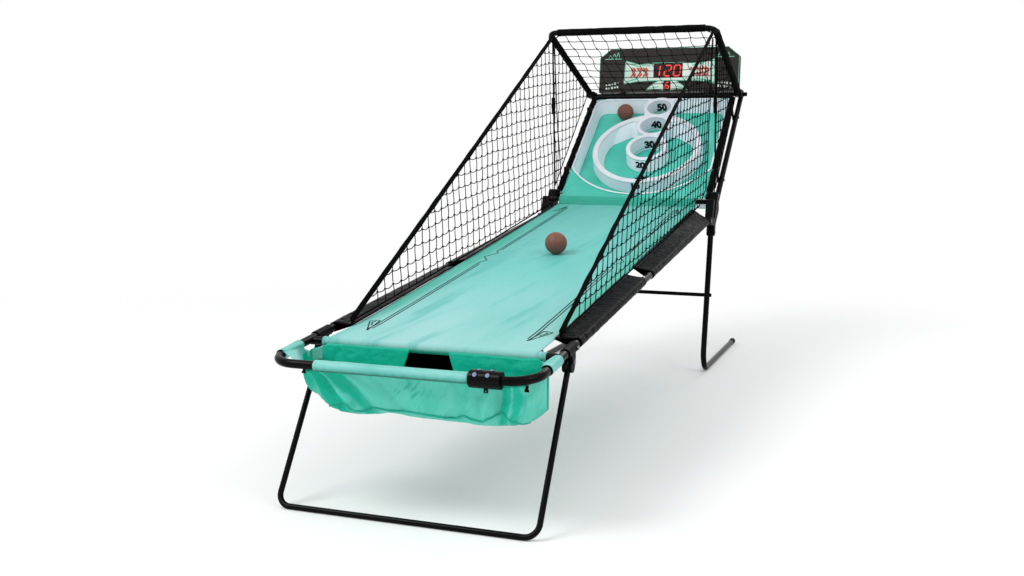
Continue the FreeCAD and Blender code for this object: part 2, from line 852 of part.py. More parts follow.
def make_chute():
    front = pouch_back_y + soft_gap
    hem_low = lane_tube_z - tube_radius - soft_gap - cloth - 2 * soft_gap
    board_edge = board_point(0, board_low, board_back_h - 4 * soft_gap)
    near = board_point(0, hood_low_s, board_back_h - 4 * soft_gap)
    far = board_point(0, hood_low_s, -hood_depth)
    top = [(front, hem_low), (lane_y + 13, hem_low)]
    top += curve_line(lane_z, lane_y + 17, chute_under_lane_y, cloth + 2 * soft_gap, 8)
    top += [(board_edge.y, board_edge.z), (near.y, near.z)]
    floor_line = curve_line(chute_floor_z, front, chute_under_lane_y, 0, 8) + [(far.y, far.z)]
    outer = side_plate(top + floor_line[::-1], -chute_half, chute_half)
    raised = [(y, z + 6) for y, z in top]
    raised[0] = (front - 5, raised[0][1])
    raised[-1] = (near.y + 60, near.z + 40)
    inner_floor = [(y, z + cloth) for y, z in floor_line]
    inner_floor[0] = (front - 5, inner_floor[0][1])
    inner_floor[-1] = (far.y + 12, inner_floor[-1][1] + 1)
    inner = side_plate(raised + inner_floor[::-1], -chute_half + cloth, chute_half - cloth)
    parts["return_chute"] = outer.cut(inner)


# Target board: a moulded panel with a sunk channel, a ring and three cups

board_half = panel_half - panel_radius - 1.0
board_low = 3.0
board_corner = 12.0
edge_notch = 7.5
board_high = panel_length - panel_radius - 1.0
deck_h = -3.0
floor_h = -48.0
cup_floor_h = -60.0
cup_taper = 6.0
skin = 2.5
ring_s = 283.0
ring_outer = 202.0
ring_inner = 184.0
ring_base_outer = 208.0
ring_base_inner = 166.0
channel_half = board_half - 9.0
channel_bottom_s = 322.0
channel_bottom_radius = channel_half + 44.0
channel_top_s = board_high - 9.0
channel_corner = 44.0
channel_lean = 12.0
channel_top_lean = 18.0
rim_width = 6.0
platform_half = 50.0
platform_low_s = 395.0
far_s = 900.0
cups = {
    "cup_30": (286.0, 77.0, 63.0),
    "cup_40": (420.0, 65.0, 51.0),
    "cup_50": (534.0, 60.0, 47.0),
}
drop_radius = ball_radius + 3.0
drain_bite = 12.0
hole_ledge = 1.5
shoulder_front = ((-190.0, 325.0), (-88.0, 399.0), (88.0, 399.0), (190.0, 325.0))
shoulder_rise = 48.0
shoulder_skin = 3.5


def board_circle(s, h, radius):
    centre = board_point(0, s, h)
    return Part.Wire([Part.Circle(centre, slope_up(panel_slope), radius).toShape()])


def board_cone(s_top, r_top, h_top, s_low, r_low, h_low):
    """A round form that stands on the board and may lean along its slope."""
    return Part.makeLoft([board_circle(s_low, h_low, r_low), board_circle(s_top, h_top, r_top)], True, True)


def board_prism(outline, h_low, h_high):
    points = [board_point(x, s, h_low) for x, s in outline]
    face = Part.Face(Part.makePolygon(points + [points[0]]))
    return face.extrude(slope_up(panel_slope) * (h_high - h_low))


def channel_wire(grow, h, top_drop=0.0):
    """The sunk channel's outline: round below, straight sides, rounded upper corners."""
    radius = channel_bottom_radius + grow
    side = channel_half + grow
    top = channel_top_s + grow - top_drop
    bend = channel_corner + grow
    drop = math.sqrt(radius * radius - side * side)
    join = channel_bottom_s - drop

    def at(x, s):
        return board_point(x, s, h)

    quarter = bend * (1 - math.cos(math.radians(45)))
    edges = [
        Part.Arc(at(-side, join), at(0, channel_bottom_s - radius), at(side, join)).toShape(),
        Part.LineSegment(at(side, join), at(side, top - bend)).toShape(),
        Part.Arc(at(side, top - bend), at(side - quarter, top - quarter), at(side - bend, top)).toShape(),
        Part.LineSegment(at(side - bend, top), at(-side + bend, top)).toShape(),
        Part.Arc(at(-side + bend, top), at(-side + quarter, top - quarter), at(-side, top - bend)).toShape(),
        Part.LineSegment(at(-side, top - bend), at(-side, join)).toShape(),
    ]
    return Part.Wire(edges)


def platform_space(half, h_low, h_high):
    """The strip of full height that carries the two upper cups."""
    outline = [(-half, platform_low_s), (half, platform_low_s), (half, far_s), (-half, far_s)]
    return board_prism(outline, h_low, h_high)


def channel_space(grow):
    """The room of the channel: its wall leans outwards from the floor to the rim, most at the top."""
    low = channel_wire(grow - channel_lean, floor_h, channel_top_lean)
    high = channel_wire(grow, 0)
    space = Part.makeLoft([low, high], True, True)
    top = Part.Face(high).extrude(slope_up(panel_slope) * 20)
    space = space.fuse(top)
    return space.cut(platform_space(platform_half - grow, floor_h - 5, 25))


def drain_space():
    """The hole at the lowest place of the ring's floor, which bites a little into the ring's wall."""
    drain_s = ring_s - ring_base_inner + drop_radius - drain_bite
    return board_cone(drain_s, drop_radius, 0, drain_s, drop_radius, floor_h - 10)


def shoulder_block(drop):
    """The sloping fill at the ring's upper end, from a line on the floor up to the rim."""
    wires = []
    for h, rise in ((floor_h - drop, 0.0), (-drop, shoulder_rise)):
        front = [(x, s + rise) for x, s in shoulder_front]
        outline = front + [(ring_outer, far_s), (-ring_outer, far_s)]
        points = [board_point(x, s, h) for x, s in outline]
        wires.append(Part.makePolygon(points + [points[0]]))
    return Part.makeLoft(wires, True, True)


def cup_outer(name, h_top, h_low, grow):
    s, outer, _ = cups[name]
    base_s = s - 16 if name == "cup_30" else s
    base_r = outer + 3
    return board_cone(s, outer + grow, h_top, base_s, base_r + grow, h_low)


def cup_space(name):
    """The room that a cup takes out of its neighbours."""
    return cup_outer(name, 0, cup_floor_h, 0.15)


def board_outline(inset_by):
    half = board_half - inset_by
    low = board_low + inset_by
    high = board_high - inset_by
    cut = board_corner
    right = [(half, low), (half, high - cut), (half - cut, high)]
    return [(-half, low)] + right + [(cut - half, high), (-half, high - cut)]


def make_board():
    block = board_prism(board_outline(0), floor_h - skin, deck_h)
    upper = block.cut(channel_space(0))
    under = board_prism(board_outline(skin), floor_h - 20, deck_h - skin)
    under = under.cut(channel_space(skin))
    floor_plate = Part.Face(channel_wire(skin - channel_lean, floor_h - skin, channel_top_lean))
    under = under.cut(floor_plate.extrude(slope_up(panel_slope) * (skin + 1)))
    board = upper.cut(under)
    rim = Part.Face(channel_wire(rim_width, deck_h)).extrude(slope_up(panel_slope) * -deck_h)
    board = board.fuse(rim.cut(channel_space(0)))
    for name in cups:
        board = board.cut(cup_space(name))
    board = board.cut(drain_space())
    for side in (-1, 1):
        for station in (frame_bolt_s,) + standoff_stations:
            edge = board_point(side * board_half, station, 0)
            across = V(side * 4, 0, 0)
            board = board.cut(rod(edge - across, edge + across, edge_notch))
    parts["target_board"] = board.removeSplitter()


def make_ring_and_cups():
    top = 0.0
    outer = board_cone(ring_s, ring_outer, top, ring_s, ring_base_outer, floor_h)
    inner = board_cone(ring_s, ring_inner - 0.1, top + 0.5, ring_s, ring_base_inner, floor_h - 0.5)
    wall_out = ring_base_outer - skin
    wall_in = ring_base_inner + skin
    under_outer = board_cone(ring_s, ring_outer - skin, top - skin, ring_s, wall_out, floor_h - 1)
    under_inner = board_cone(ring_s, ring_inner + skin, top - skin + 1, ring_s, wall_in, floor_h - 2)
    ring = outer.cut(inner).cut(under_outer.cut(under_inner))
    room = board_cone(ring_s, ring_inner + 0.4, 0, ring_s, ring_base_inner + 0.4, floor_h)
    shoulder = shoulder_block(0).cut(shoulder_block(shoulder_skin)).common(room)
    ring = ring.fuse(shoulder).cut(drain_space())
    ring = ring.cut(cup_space("cup_40")).cut(platform_space(platform_half, floor_h - 5, 5))
    parts["target_ring"] = max(ring.Solids, key=lambda solid: solid.Volume)

    lower_name = None
    cup_parts = []
    for name, (s, outer_r, inner_r) in cups.items():
        body = cup_outer(name, top, cup_floor_h, 0)
        mouth = board_cone(s, inner_r, top + 0.5, s, inner_r - cup_taper, cup_floor_h + skin)
        under = cup_outer(name, top - skin, cup_floor_h - 1, -skin)
        core_low = inner_r - cup_taper + skin
        core = board_cone(s, inner_r + skin, top + 1, s, core_low, cup_floor_h - 3)
        cup = body.cut(mouth).cut(under.cut(core))
        drop_s = s - (inner_r - cup_taper - drop_radius - hole_ledge)
        cup = cup.cut(board_cone(drop_s, drop_radius, top, drop_s, drop_radius, cup_floor_h - 5))
        if lower_name:
            cup = cup.cut(cup_space(lower_name))
        cup_parts.append(max(cup.Solids, key=lambda solid: solid.Volume))
        lower_name = name
    parts["target_cups"] = Part.makeCompound(cup_parts)


# Catch cloth behind the target, which leads the balls down to the chute

hood_half = half_width - 37.0
hood_bend_s = 150.0
hood_top_s = panel_length - 3.0


def hood_section(s, half, h_near, h_far):
    corners = [(-half, h_near), (half, h_near), (half, h_far), (-half, h_far)]
    points = [board_point(x, s, h) for x, h in corners]
    return Part.makePolygon(points + [points[0]])


def make_hood():
    near = board_back_h - soft_gap
    stations = ((hood_low_s, chute_half), (hood_bend_s, hood_half), (hood_top_s, hood_half))
    outer = Part.makeLoft([hood_section(s, half, near, -hood_depth) for s, half in stations], True, True)
    moved = (hood_low_s - 4, hood_bend_s, hood_top_s - cloth)
    inner_sections = []
    for s, (_, half) in zip(moved, stations):
        inner_sections.append(hood_section(s, half - cloth, near + 3, -hood_depth + cloth))
    inner = Part.makeLoft(inner_sections, True, True)
    parts["catch_cloth"] = outer.cut(inner)


# Nets: holed sheets with the cell size of the knotted cord

net_thick = 1.8
net_cell = 44.0
net_cord = 2.0
wall_top_x = half_width - 9.0
wall_low_x = lane_half + 7.0


def wall_x(z):
    """The side net leans inwards from the net frame down to the sleeve's edge."""
    low = lane_z(sleeve_front_y)
    return wall_low_x + (wall_top_x - wall_low_x) * (z - low) / (net_bar_z - low)


def clip(polygon, a, b):
    """Keep the part of a polygon on the left of the line from a to b."""
    def side(p):
        return (b[0] - a[0]) * (p[1] - a[1]) - (b[1] - a[1]) * (p[0] - a[0])

    kept = []
    for index, p in enumerate(polygon):
        q = polygon[(index + 1) % len(polygon)]
        if side(p) >= 0:
            kept.append(p)
        if side(p) * side(q) < 0:
            share = side(p) / (side(p) - side(q))
            kept.append((p[0] + share * (q[0] - p[0]), p[1] + share * (q[1] - p[1])))
    return kept


def area(polygon):
    total = 0.0
    for index, p in enumerate(polygon):
        q = polygon[(index + 1) % len(polygon)]
        total += p[0] * q[1] - q[0] * p[1]
    return total / 2


def inset(polygon, margin):
    """Each side of a convex polygon moved inwards."""
    lines = []
    for index, p in enumerate(polygon):
        q = polygon[(index + 1) % len(polygon)]
        length = math.hypot(q[0] - p[0], q[1] - p[1])
        normal = (-(q[1] - p[1]) / length * margin, (q[0] - p[0]) / length * margin)
        lines.append(((p[0] + normal[0], p[1] + normal[1]), (q[0] + normal[0], q[1] + normal[1])))
    result = polygon
    for a, b in lines:
        result = clip(result, a, b)
    return result


def net_face(outline, place, row, column, origin):
    """A sheet with one hole for each cell, rows along one direction and columns along another."""
    inner = inset(outline, hem)
    points = [place(u, v) for u, v in outline]
    wires = [Part.makePolygon(points + [points[0]])]
    us = [p[0] for p in outline]
    vs = [p[1] for p in outline]
    reach = int((max(us) - min(us) + max(vs) - min(vs)) / net_cell) + 4
    gap = net_cord / net_cell
    for i in range(-reach, reach):
        for j in range(-reach, reach):
            cell = []
            for a, b in ((gap, gap), (1 - gap, gap), (1 - gap, 1 - gap), (gap, 1 - gap)):
                u = origin[0] + (i + a) * row[0] + (j + b) * column[0]
                v = origin[1] + (i + a) * row[1] + (j + b) * column[1]
                cell.append((u, v))
            count = len(inner)
            for k in range(count):
                cell = clip(cell, inner[k], inner[(k + 1) % count])
                if not cell:
                    break
            if len(cell) > 2 and area(cell) > 0.15 * net_cell * net_cell:
                corners = [place(u, v) for u, v in cell]
                wires.append(Part.makePolygon(corners + [corners[0]]))
    face = Part.Face(wires, "Part::FaceMakerBullseye")
    return face, len(wires) - 1


cord_top_y = rail_length + 38.0
hem = 4.0
cord_low = (rail_length + 72.0, rail_end_z + 82.6)
net_clear = 8.6
strap_low = (sleeve_front_y + 12.0, rail_z(sleeve_front_y) + 16.4)
strap_top = (net_bar_y + 5.0, net_bar_z - 16.4)
strap_width = 12.0
strap_thick = 3.0
cord_radius = 2.0
slider_radius = 6.5
slider_length = 60.0
slider_up = 386.4


def arm_z(y):
    """Height of the net frame's side arms."""
    share = (y - net_bar_y) / (arm_end_y - net_bar_y)
    return net_bar_z + share * (arm_end_z - net_bar_z)


def arm_under(y):
    slope = math.atan2(net_bar_z - arm_end_z, arm_end_y - net_bar_y)
    return arm_z(y) - (tube_radius + 0.5) / math.cos(slope)


def strap_point(share, drop):
    """A point on the edge strap's line, or below it by a drop."""
    run = (strap_top[0] - strap_low[0], strap_top[1] - strap_low[1])
    length = math.hypot(*run)
    y = strap_low[0] + run[0] * share + run[1] / length * drop
    z = strap_low[1] + run[1] * share - run[0] / length * drop
    return (y, z)


def make_nets():
    row = (net_cell, net_cell * math.tan(math.radians(rail_rise)))
    column = (0.0, net_cell)
    below = strap_width / 2 + 0.5
    front_corner = strap_point(0.016, below)
    cord_top = (cord_top_y, arm_under(cord_top_y))
    wall = [
        front_corner,
        (cord_low[0] - 110, lane_z(cord_low[0] - 110) + 16),
        (cord_low[0] - net_clear, cord_low[1] + 14),
        (cord_top[0] - net_clear, cord_top[1] - 14),
        strap_point(0.99, below),
    ]
    rear = [
        (cord_low[0] + net_clear, cord_low[1] + 16),
        (arm_end_y - 66, arm_under(arm_end_y - 66)),
        (cord_top[0] + net_clear, arm_under(cord_top[0] + net_clear)),
    ]
    rear_nets = []
    for side in (-1, 1):
        def wall_place(y, z, side=side):
            return V(side * wall_x(z), y, z)

        def rear_place(y, z, side=side):
            return V(side * (half_width - 2), y, z)

        face, count = net_face(wall, wall_place, row, column, front_corner)
        parts["side_net_" + named_side(side)] = face.extrude(V(side * net_thick, 0, 0))
        print("side net gaps", count)
        face, count = net_face(rear, rear_place, row, column, cord_low)
        rear_nets.append(face.extrude(V(side * net_thick, 0, 0)))
        print("rear net gaps", count)
    parts["rear_nets"] = Part.makeCompound(rear_nets)

    bar = V(0, net_bar_y, net_bar_z)
    rail = board_point(0, panel_length, 0)
    slope = (bar - rail).normalize()
    normal = V(1, 0, 0).cross(slope).normalize()
    if normal.z < 0:
        normal = -normal
    low = rail + normal * (panel_radius + soft_gap)
    high = bar - slope * (tube_radius + soft_gap + pad_wall + soft_gap)
    length = (high - low).Length
    half = half_width - tube_radius - 0.5
    corner = net_bend

    def top_place(x, t):
        return low + (high - low) * (t / length) + V(x, 0, 0)

    foot = half - 4
    outline = [(-foot, 0.0), (foot, 0.0), (half, 2 * corner), (half, length - corner)]
    outline += [(half - corner, length), (corner - half, length)]
    outline += [(-half, length - corner), (-half, 2 * corner)]
    face, count = net_face(outline, top_place, (net_cell, 0.0), (0.0, net_cell), (-half, 0.0))
    parts["top_net"] = face.extrude(normal * net_thick)
    print("top net gaps", count)


# Edge straps, upright cords and their sliders

def make_straps():
    straps = []
    for side in (-1, 1):
        outline = [
            strap_point(0, strap_width / 2),
            strap_point(1, strap_width / 2),
            strap_point(1, -strap_width / 2),
            strap_point(0, -strap_width / 2),
        ]
        points = [V(side * (wall_x(z) - 0.6), y, z) for y, z in outline]
        face = Part.Face(Part.makePolygon(points + [points[0]]))
        straps.append(face.extrude(V(side * strap_thick, 0, 0)))
        x = side * (half_width - 2)
        a = V(x, cord_low[0], cord_low[1])
        b = V(x, cord_top_y, arm_under(cord_top_y) + 0.2)
        straps.append(rod(a, b, cord_radius))
        way = (b - a).normalize()
        middle = a + way * ((rail_end_z + slider_up - a.z) / way.z)
        start = middle - way * slider_length / 2
        end = middle + way * slider_length / 2
        body = rod(start, end, slider_radius)
        body = body.makeFillet(2.0, [e for e in body.Edges if e.isClosed()])
        grip = rod(middle - way * 8, middle + way * 8, slider_radius + 1.2)
        slider = fuse_all([body, grip]).cut(rod(a, b, cord_radius + 0.06))
        parts["cord_slider_" + named_side(side)] = slider
    parts["net_straps"] = Part.makeCompound(straps)


# Score unit: two shells, windows, circuit board, digits and brackets

def score_place(x, z, d):
    """A point of the score unit: z runs up its leaning face and d runs back into it."""
    lean = math.radians(score_lean)
    y = score_y + z * math.sin(lean) + d * math.cos(lean)
    return V(x, y, score_z + z * math.cos(lean) - d * math.sin(lean))


def score_prism(outline, d_start, d_end):
    points = [score_place(x, z, d_start) for x, z in outline]
    face = Part.Face(Part.makePolygon(points + [points[0]]))
    return face.extrude(score_place(0, 0, d_end) - score_place(0, 0, d_start))


def score_outline(shrink):
    half = score_half - shrink
    top_half = score_top_half - shrink * 0.6
    top = score_height - shrink
    shoulder = score_shoulder - shrink * 0.4
    low = shrink
    right = [(half, low), (half, shoulder), (top_half, top)]
    return [(-half, low)] + right + [(-top_half, top), (-half, shoulder)]


display_window = (-56.0, 57.0, 57.0, 111.0)
ball_window = (-14.0, 11.0, 8.0, 41.0)
cover_window = (-60.0, 60.0, 40.0, 110.0)
circuit_window = (-120.0, 120.0, 12.0, 130.0)
circuit_start = 12.0
circuit_thick = 1.6
split = 14.0


def box_outline(window, grow):
    left, right, low, high = window
    low_edge = [(left - grow, low - grow), (right + grow, low - grow)]
    return low_edge + [(right + grow, high + grow), (left - grow, high + grow)]


def make_score_unit():
    front = score_prism(score_outline(0), 0, split)
    front = front.cut(score_prism(score_outline(shell_wall), shell_wall, split + 5))
    lenses = []
    for window in (display_window, ball_window):
        front = front.cut(score_prism(box_outline(window, 0), -5, shell_wall + 5))
        lenses.append(score_prism(box_outline(window, -fit_gap), 0.4, 2.4))
    parts["score_front_shell"] = front
    parts["score_windows"] = Part.makeCompound(lenses)
    back = score_prism(score_outline(0), split, score_depth)
    back = back.cut(score_prism(score_outline(shell_wall), split - 5, score_depth - shell_wall))
    inner_d = score_depth - shell_wall
    back = back.cut(score_prism(box_outline(cover_window, 0.4), inner_d - 1, score_depth + 5))
    ledge = score_prism(box_outline(cover_window, 6), inner_d - 2, inner_d)
    ledge = ledge.cut(score_prism(box_outline(cover_window, -6), inner_d - 8, score_depth))
    parts["battery_cover"] = score_prism(box_outline(cover_window, 0), inner_d, score_depth)
    circuit_end = circuit_start + circuit_thick
    posts = []
    for x, z in box_outline(circuit_window, -10):
        posts.append(rod(score_place(x, z, circuit_end), score_place(x, z, inner_d), 3.5))
    parts["score_back_shell"] = fuse_all([back, ledge] + posts)
    parts["score_circuit"] = fuse_all([
        score_prism(box_outline(circuit_window, 0), circuit_start, circuit_end),
        score_prism(box_outline(display_window, -3), 4.0, circuit_start),
        score_prism(box_outline(ball_window, -2), 4.0, circuit_start),
    ])
    make_score_brackets()


bracket_half = 11.0
bracket_thick = 2.5
bracket_x = 180.0


def make_score_brackets():
    centre = bar_centre()
    low_front = score_place(0, 0, 2)
    low_back = score_place(0, 0, score_depth - 6)
    brackets = []
    for side in (-1, 1):
        x_low = side * bracket_x - bracket_half
        x_high = side * bracket_x + bracket_half
        band = rod(V(x_low, centre.y, centre.z), V(x_high, centre.y, centre.z), panel_radius + bracket_thick)
        shelf = [yz(low_front), yz(low_back)]
        drop = slope_up(-score_lean) * -bracket_thick
        outline = shelf + [yz(low_back + drop), yz(low_front + drop)]
        plate = side_plate(outline, x_low, x_high)
        web_points = [
            (centre.y, centre.z),
            (centre.y + 4, centre.z - 9),
            (shelf[1][0] - 8, shelf[1][1] - 10),
            (shelf[1][0] - 2, shelf[1][1] - 1),
            (shelf[0][0] + 3, shelf[0][1] - 1),
        ]
        web = side_plate(web_points, x_low + 8, x_high - 8)
        body = fuse_all([band, plate, web])
        body = body.cut(bar_space())
        body = body.cut(score_prism(score_outline(0), 0, score_depth))
        brackets.append(max(body.Solids, key=lambda solid: solid.Volume))
    parts["score_brackets"] = Part.makeCompound(brackets)


# Control box: two half shells round the front bar, two keys on top and two in front

key_radius = 4.2
lamp_radius = 4.6
key_xs = (182.0, 209.0)
lamp_xs = (178.0, 205.0)
key_stand = 1.5
key_seat = 1.4
key_flange = 0.8
tab_x = 197.0


def box_shell(low, high):
    a = V(box_left, 0, front_height)
    b = V(box_right, 0, front_height)
    outer = rod(a, b, box_radius)
    outer = outer.makeFillet(2.0, [e for e in outer.Edges if e.isClosed()])
    hollow = rod(a + V(box_wall, 0, 0), b - V(box_wall, 0, 0), box_radius - box_wall)
    body = outer.cut(hollow).cut(rod(a - V(5, 0, 0), b + V(5, 0, 0), tube_radius + fit_gap))
    half = Part.makeBox(200, 100, high - low, V(box_left - 50, -50, front_height + low))
    return body.common(half)


def make_control_box():
    tilt = slope_up(90 - key_tilt)
    up = V(0, 0, 1)
    upper = box_shell(0, 40)
    buttons = {
        "score_key_left": (key_xs[0], up, key_radius),
        "score_key_right": (key_xs[1], up, key_radius),
        "play_button_left": (lamp_xs[0], tilt, lamp_radius),
        "play_button_right": (lamp_xs[1], tilt, lamp_radius),
    }
    seat = box_radius - box_wall - key_seat
    for name, (x, way, radius) in buttons.items():
        centre = V(x, 0, front_height)
        upper = upper.cut(rod(centre + way * (seat - 3), centre + way * far_x, radius + fit_gap))
        button = rod(centre + way * seat, centre + way * (box_radius + key_stand), radius)
        button = button.makeFillet(key_flange, [longest_top_edge(button, way)])
        flange = rod(centre + way * (seat - 1), centre + way * seat, radius + key_flange)
        parts[name] = button.fuse(flange).removeSplitter()
    parts["control_box_upper"] = upper
    tab_z = front_height - box_radius
    tab = Part.makeBox(9, 1.2, 9, V(tab_x - 4.5, -3, tab_z - 8.2))
    tab = tab.cut(rod(V(tab_x, -5, tab_z - 5), V(tab_x, 5, tab_z - 5), 1.6))
    parts["control_box_lower"] = fuse_all([box_shell(-40, 0), tab])


# Balls

def make_balls():
    x, y = lane_ball
    normal = slope_up(math.degrees(math.atan(lane_slope(y))))
    on_lane = V(x, y, lane_z(y)) + normal * (ball_radius + ball_gap)
    parts["ball_on_lane"] = Part.makeSphere(ball_radius, on_lane)
    on_board = board_point(*target_ball, floor_h + ball_radius + ball_gap)
    parts["ball_on_target"] = Part.makeSphere(ball_radius, on_board)
    print("ball centres", on_lane, on_board)


make_rails()
make_front_leg()
make_rear_legs()
make_knuckles()
make_target_frame()
make_top_bar()
make_net_frame()
make_lane_tubes()
make_lane()
make_sleeves()
make_bar_sleeves()
make_pouch()
make_chute()
make_board()
make_ring_and_cups()
make_hood()
make_nets()
make_straps()
make_score_unit()
make_control_box()
make_balls()
parts["frame_screws"] = Part.makeCompound(screws)
parts["tube_caps"] = Part.makeCompound(caps)

back_reach = score_place(0, score_height, score_depth).y
middle = (back_reach - box_radius) / 2
print("middle", middle, "pivot", pivot_y - middle, pivot_z, "leg lean", leg_lean)
os.makedirs("parts", exist_ok=True)
for name, shape in parts.items():
    shape = shape.copy()
    shape.translate(V(0, -middle, 0))
    if not shape.isValid() or shape.Volume <= 0:
        print("check", name, shape.isValid(), shape.Volume)
    shape.exportStep("parts/%s.step" % name)
print(len(parts), "nodes")
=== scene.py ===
import bmesh
import bpy
import math
from mathutils import Matrix, Vector, noise


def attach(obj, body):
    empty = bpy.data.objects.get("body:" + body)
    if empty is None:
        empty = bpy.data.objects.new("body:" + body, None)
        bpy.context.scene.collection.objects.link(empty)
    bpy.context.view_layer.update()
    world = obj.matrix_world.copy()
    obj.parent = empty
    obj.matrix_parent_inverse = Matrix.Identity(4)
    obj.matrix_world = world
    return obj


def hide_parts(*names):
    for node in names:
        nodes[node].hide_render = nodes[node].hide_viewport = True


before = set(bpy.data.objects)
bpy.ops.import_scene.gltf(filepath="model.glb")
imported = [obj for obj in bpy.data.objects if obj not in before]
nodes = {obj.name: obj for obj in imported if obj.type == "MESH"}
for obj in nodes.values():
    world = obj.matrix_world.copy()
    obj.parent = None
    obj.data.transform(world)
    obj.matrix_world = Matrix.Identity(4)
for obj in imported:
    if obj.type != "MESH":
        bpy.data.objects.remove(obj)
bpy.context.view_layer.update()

# every size below is in millimetres; y runs back from the front bar's centre line, which lies here
frontY = -1.2255294


def spot(x, y, z):
    return Vector((x / 1000, frontY + y / 1000, z / 1000))


def ink(code):  # a colour as it looks on screen, in the values a shader takes
    parts = [int(code[i:i + 2], 16) / 255 for i in (1, 3, 5)]
    return tuple(p / 12.92 if p < 0.04045 else ((p + 0.055) / 1.055) ** 2.4 for p in parts) + (1.0,)


class Flow:  # one shader socket: arithmetic on it adds Math nodes
    def __init__(self, tree, node, out):
        self.tree = tree
        self.node = node
        self.socket = node.outputs[out] if len(node.outputs) else None

    def math(self, operation, *values):
        return self.tree.add("ShaderNodeMath", {"operation": operation}, values)

    def __add__(self, other):
        return self.math("ADD", self, other)

    def __radd__(self, other):
        return self.math("ADD", other, self)

    def __sub__(self, other):
        return self.math("SUBTRACT", self, other)

    def __rsub__(self, other):
        return self.math("SUBTRACT", other, self)

    def __mul__(self, other):
        return self.math("MULTIPLY", self, other)

    def __rmul__(self, other):
        return self.math("MULTIPLY", other, self)

    def either(self, other):
        return self.math("MAXIMUM", self, other)

    def above(self, edge):
        return self.math("GREATER_THAN", self, edge)

    def below(self, edge):
        return self.math("LESS_THAN", self, edge)

    def sine(self):
        return self.math("SINE", self)

    def ramp(self, low, high, start=0.0, end=1.0):
        values = {"Value": self, "From Min": low, "From Max": high, "To Min": start, "To Max": end}
        return self.tree.add("ShaderNodeMapRange", {"interpolation_type": "SMOOTHSTEP"}, values)


class Tree:  # the nodes of one material, or of the world
    def __init__(self, nodeTree):
        self.nodeTree = nodeTree
        nodeTree.nodes.clear()

    def add(self, kind, settings=None, values=(), out=0):
        node = self.nodeTree.nodes.new(kind)
        for name, value in (settings or {}).items():
            if name == "stops":
                stops = node.color_ramp.elements
                for index, (at, colour) in enumerate(value):
                    stop = stops[index] if index < 2 else stops.new(at)
                    stop.position, stop.color = at, colour
            else:
                setattr(node, name, value)
        pairs = values.items() if isinstance(values, dict) else enumerate(values)
        for key, value in pairs:
            if isinstance(value, Flow):
                self.nodeTree.links.new(value.socket, node.inputs[key])
            else:
                node.inputs[key].default_value = value
        return Flow(self, node, out)


class Finish(Tree):  # one material round a principled shader
    def __init__(self, name, slot, **fixed):
        self.material = bpy.data.materials.new(name)
        self.material.use_nodes = True
        self.slot = slot
        super().__init__(self.material.node_tree)
        values = {socket.replace("_", " "): value for socket, value in fixed.items()}
        self.shader = self.add("ShaderNodeBsdfPrincipled", {}, values)
        self.output = self.add("ShaderNodeOutputMaterial", {}, (self.shader,))
        self.place = self.add("ShaderNodeTexCoord", out="Object")

    def paint(self, socket, value):
        self.nodeTree.links.new(value.socket, self.shader.node.inputs[socket])

    def show(self, value):  # in place of the shader alone
        self.nodeTree.links.new(value.socket, self.output.node.inputs[0])

    def mix(self, share, first, second):
        return self.add("ShaderNodeMix", {"data_type": "RGBA"}, {0: share, 6: first, 7: second}, out=2)

    def noise(self, scale, detail=2.0, rough=0.5, by=(1, 1, 1), axis="Y_AXIS", turned=0.0):
        place = self.place
        if turned:
            values = {"Vector": place, "Angle": turned}
            place = self.add("ShaderNodeVectorRotate", {"rotation_type": axis}, values)
        place = self.add("ShaderNodeVectorMath", {"operation": "MULTIPLY"}, (place, by))
        values = {"Vector": place, "Scale": scale, "Detail": detail, "Roughness": rough}
        return self.add("ShaderNodeTexNoise", {}, values)

    def along(self, axis, start=(0, 0, 0)):  # how far the surface is from the start, along the axis
        moved = self.add("ShaderNodeVectorMath", {"operation": "SUBTRACT"}, (self.place, start))
        return self.add("ShaderNodeVectorMath", {"operation": "DOT_PRODUCT"}, (moved, axis), out="Value")

    def relief(self, height, depth, strength=1.0, under=None):
        values = {"Strength": strength, "Distance": depth, "Height": height}
        if under:
            values["Normal"] = under
        return self.add("ShaderNodeBump", {}, values)

    def weave(self, pitch):
        turn = 2 * math.pi / pitch
        x, y, z = (self.along(axis) for axis in ((1, 0, 0), (0, 1, 0), (0, 0, 1)))
        return (x * turn).sine() * ((y + z) * turn).sine()

    def cloth(self, pitch, folds):  # threads over the folds
        self.paint("Normal", self.relief(self.weave(pitch), 0.00012, 0.5, under=folds))


def hardFinish(name, slot, colour, worn, rough, spread, grain, depth, **fixed):
    made = Finish(name, slot, **fixed)
    broad = made.noise(9, 3)
    made.paint("Base Color", made.mix(broad.ramp(0.35, 0.75), ink(colour), ink(worn)))
    made.paint("Roughness", broad.ramp(0.2, 0.8, rough - spread, rough + spread))
    made.paint("Normal", made.relief(made.noise(grain, 4, 0.6), depth))
    return made


def clothFinish(name, slot, pale, deep, dark, rough, pitch, crease, **fixed):
    made = Finish(name, slot, **fixed)
    broad = made.noise(4.5, 3, 0.55, by=(0.8, 0.7, 1.8))
    streak = made.noise(12, 3, 0.6, by=(0.35, 0.5, 1.9))
    colour = made.mix(broad.ramp(0.36, 0.6), ink(pale), ink(deep))
    colour = made.mix(streak.ramp(0.5, 0.72) * 0.55, colour, ink(dark))
    made.paint("Base Color", colour)
    made.paint("Roughness", streak.ramp(0.3, 0.7, rough - 0.08, rough + 0.08))
    made.cloth(pitch, made.relief(made.noise(34, 4, 0.55, by=(1.0, 0.5, 1.0)), crease))
    return made


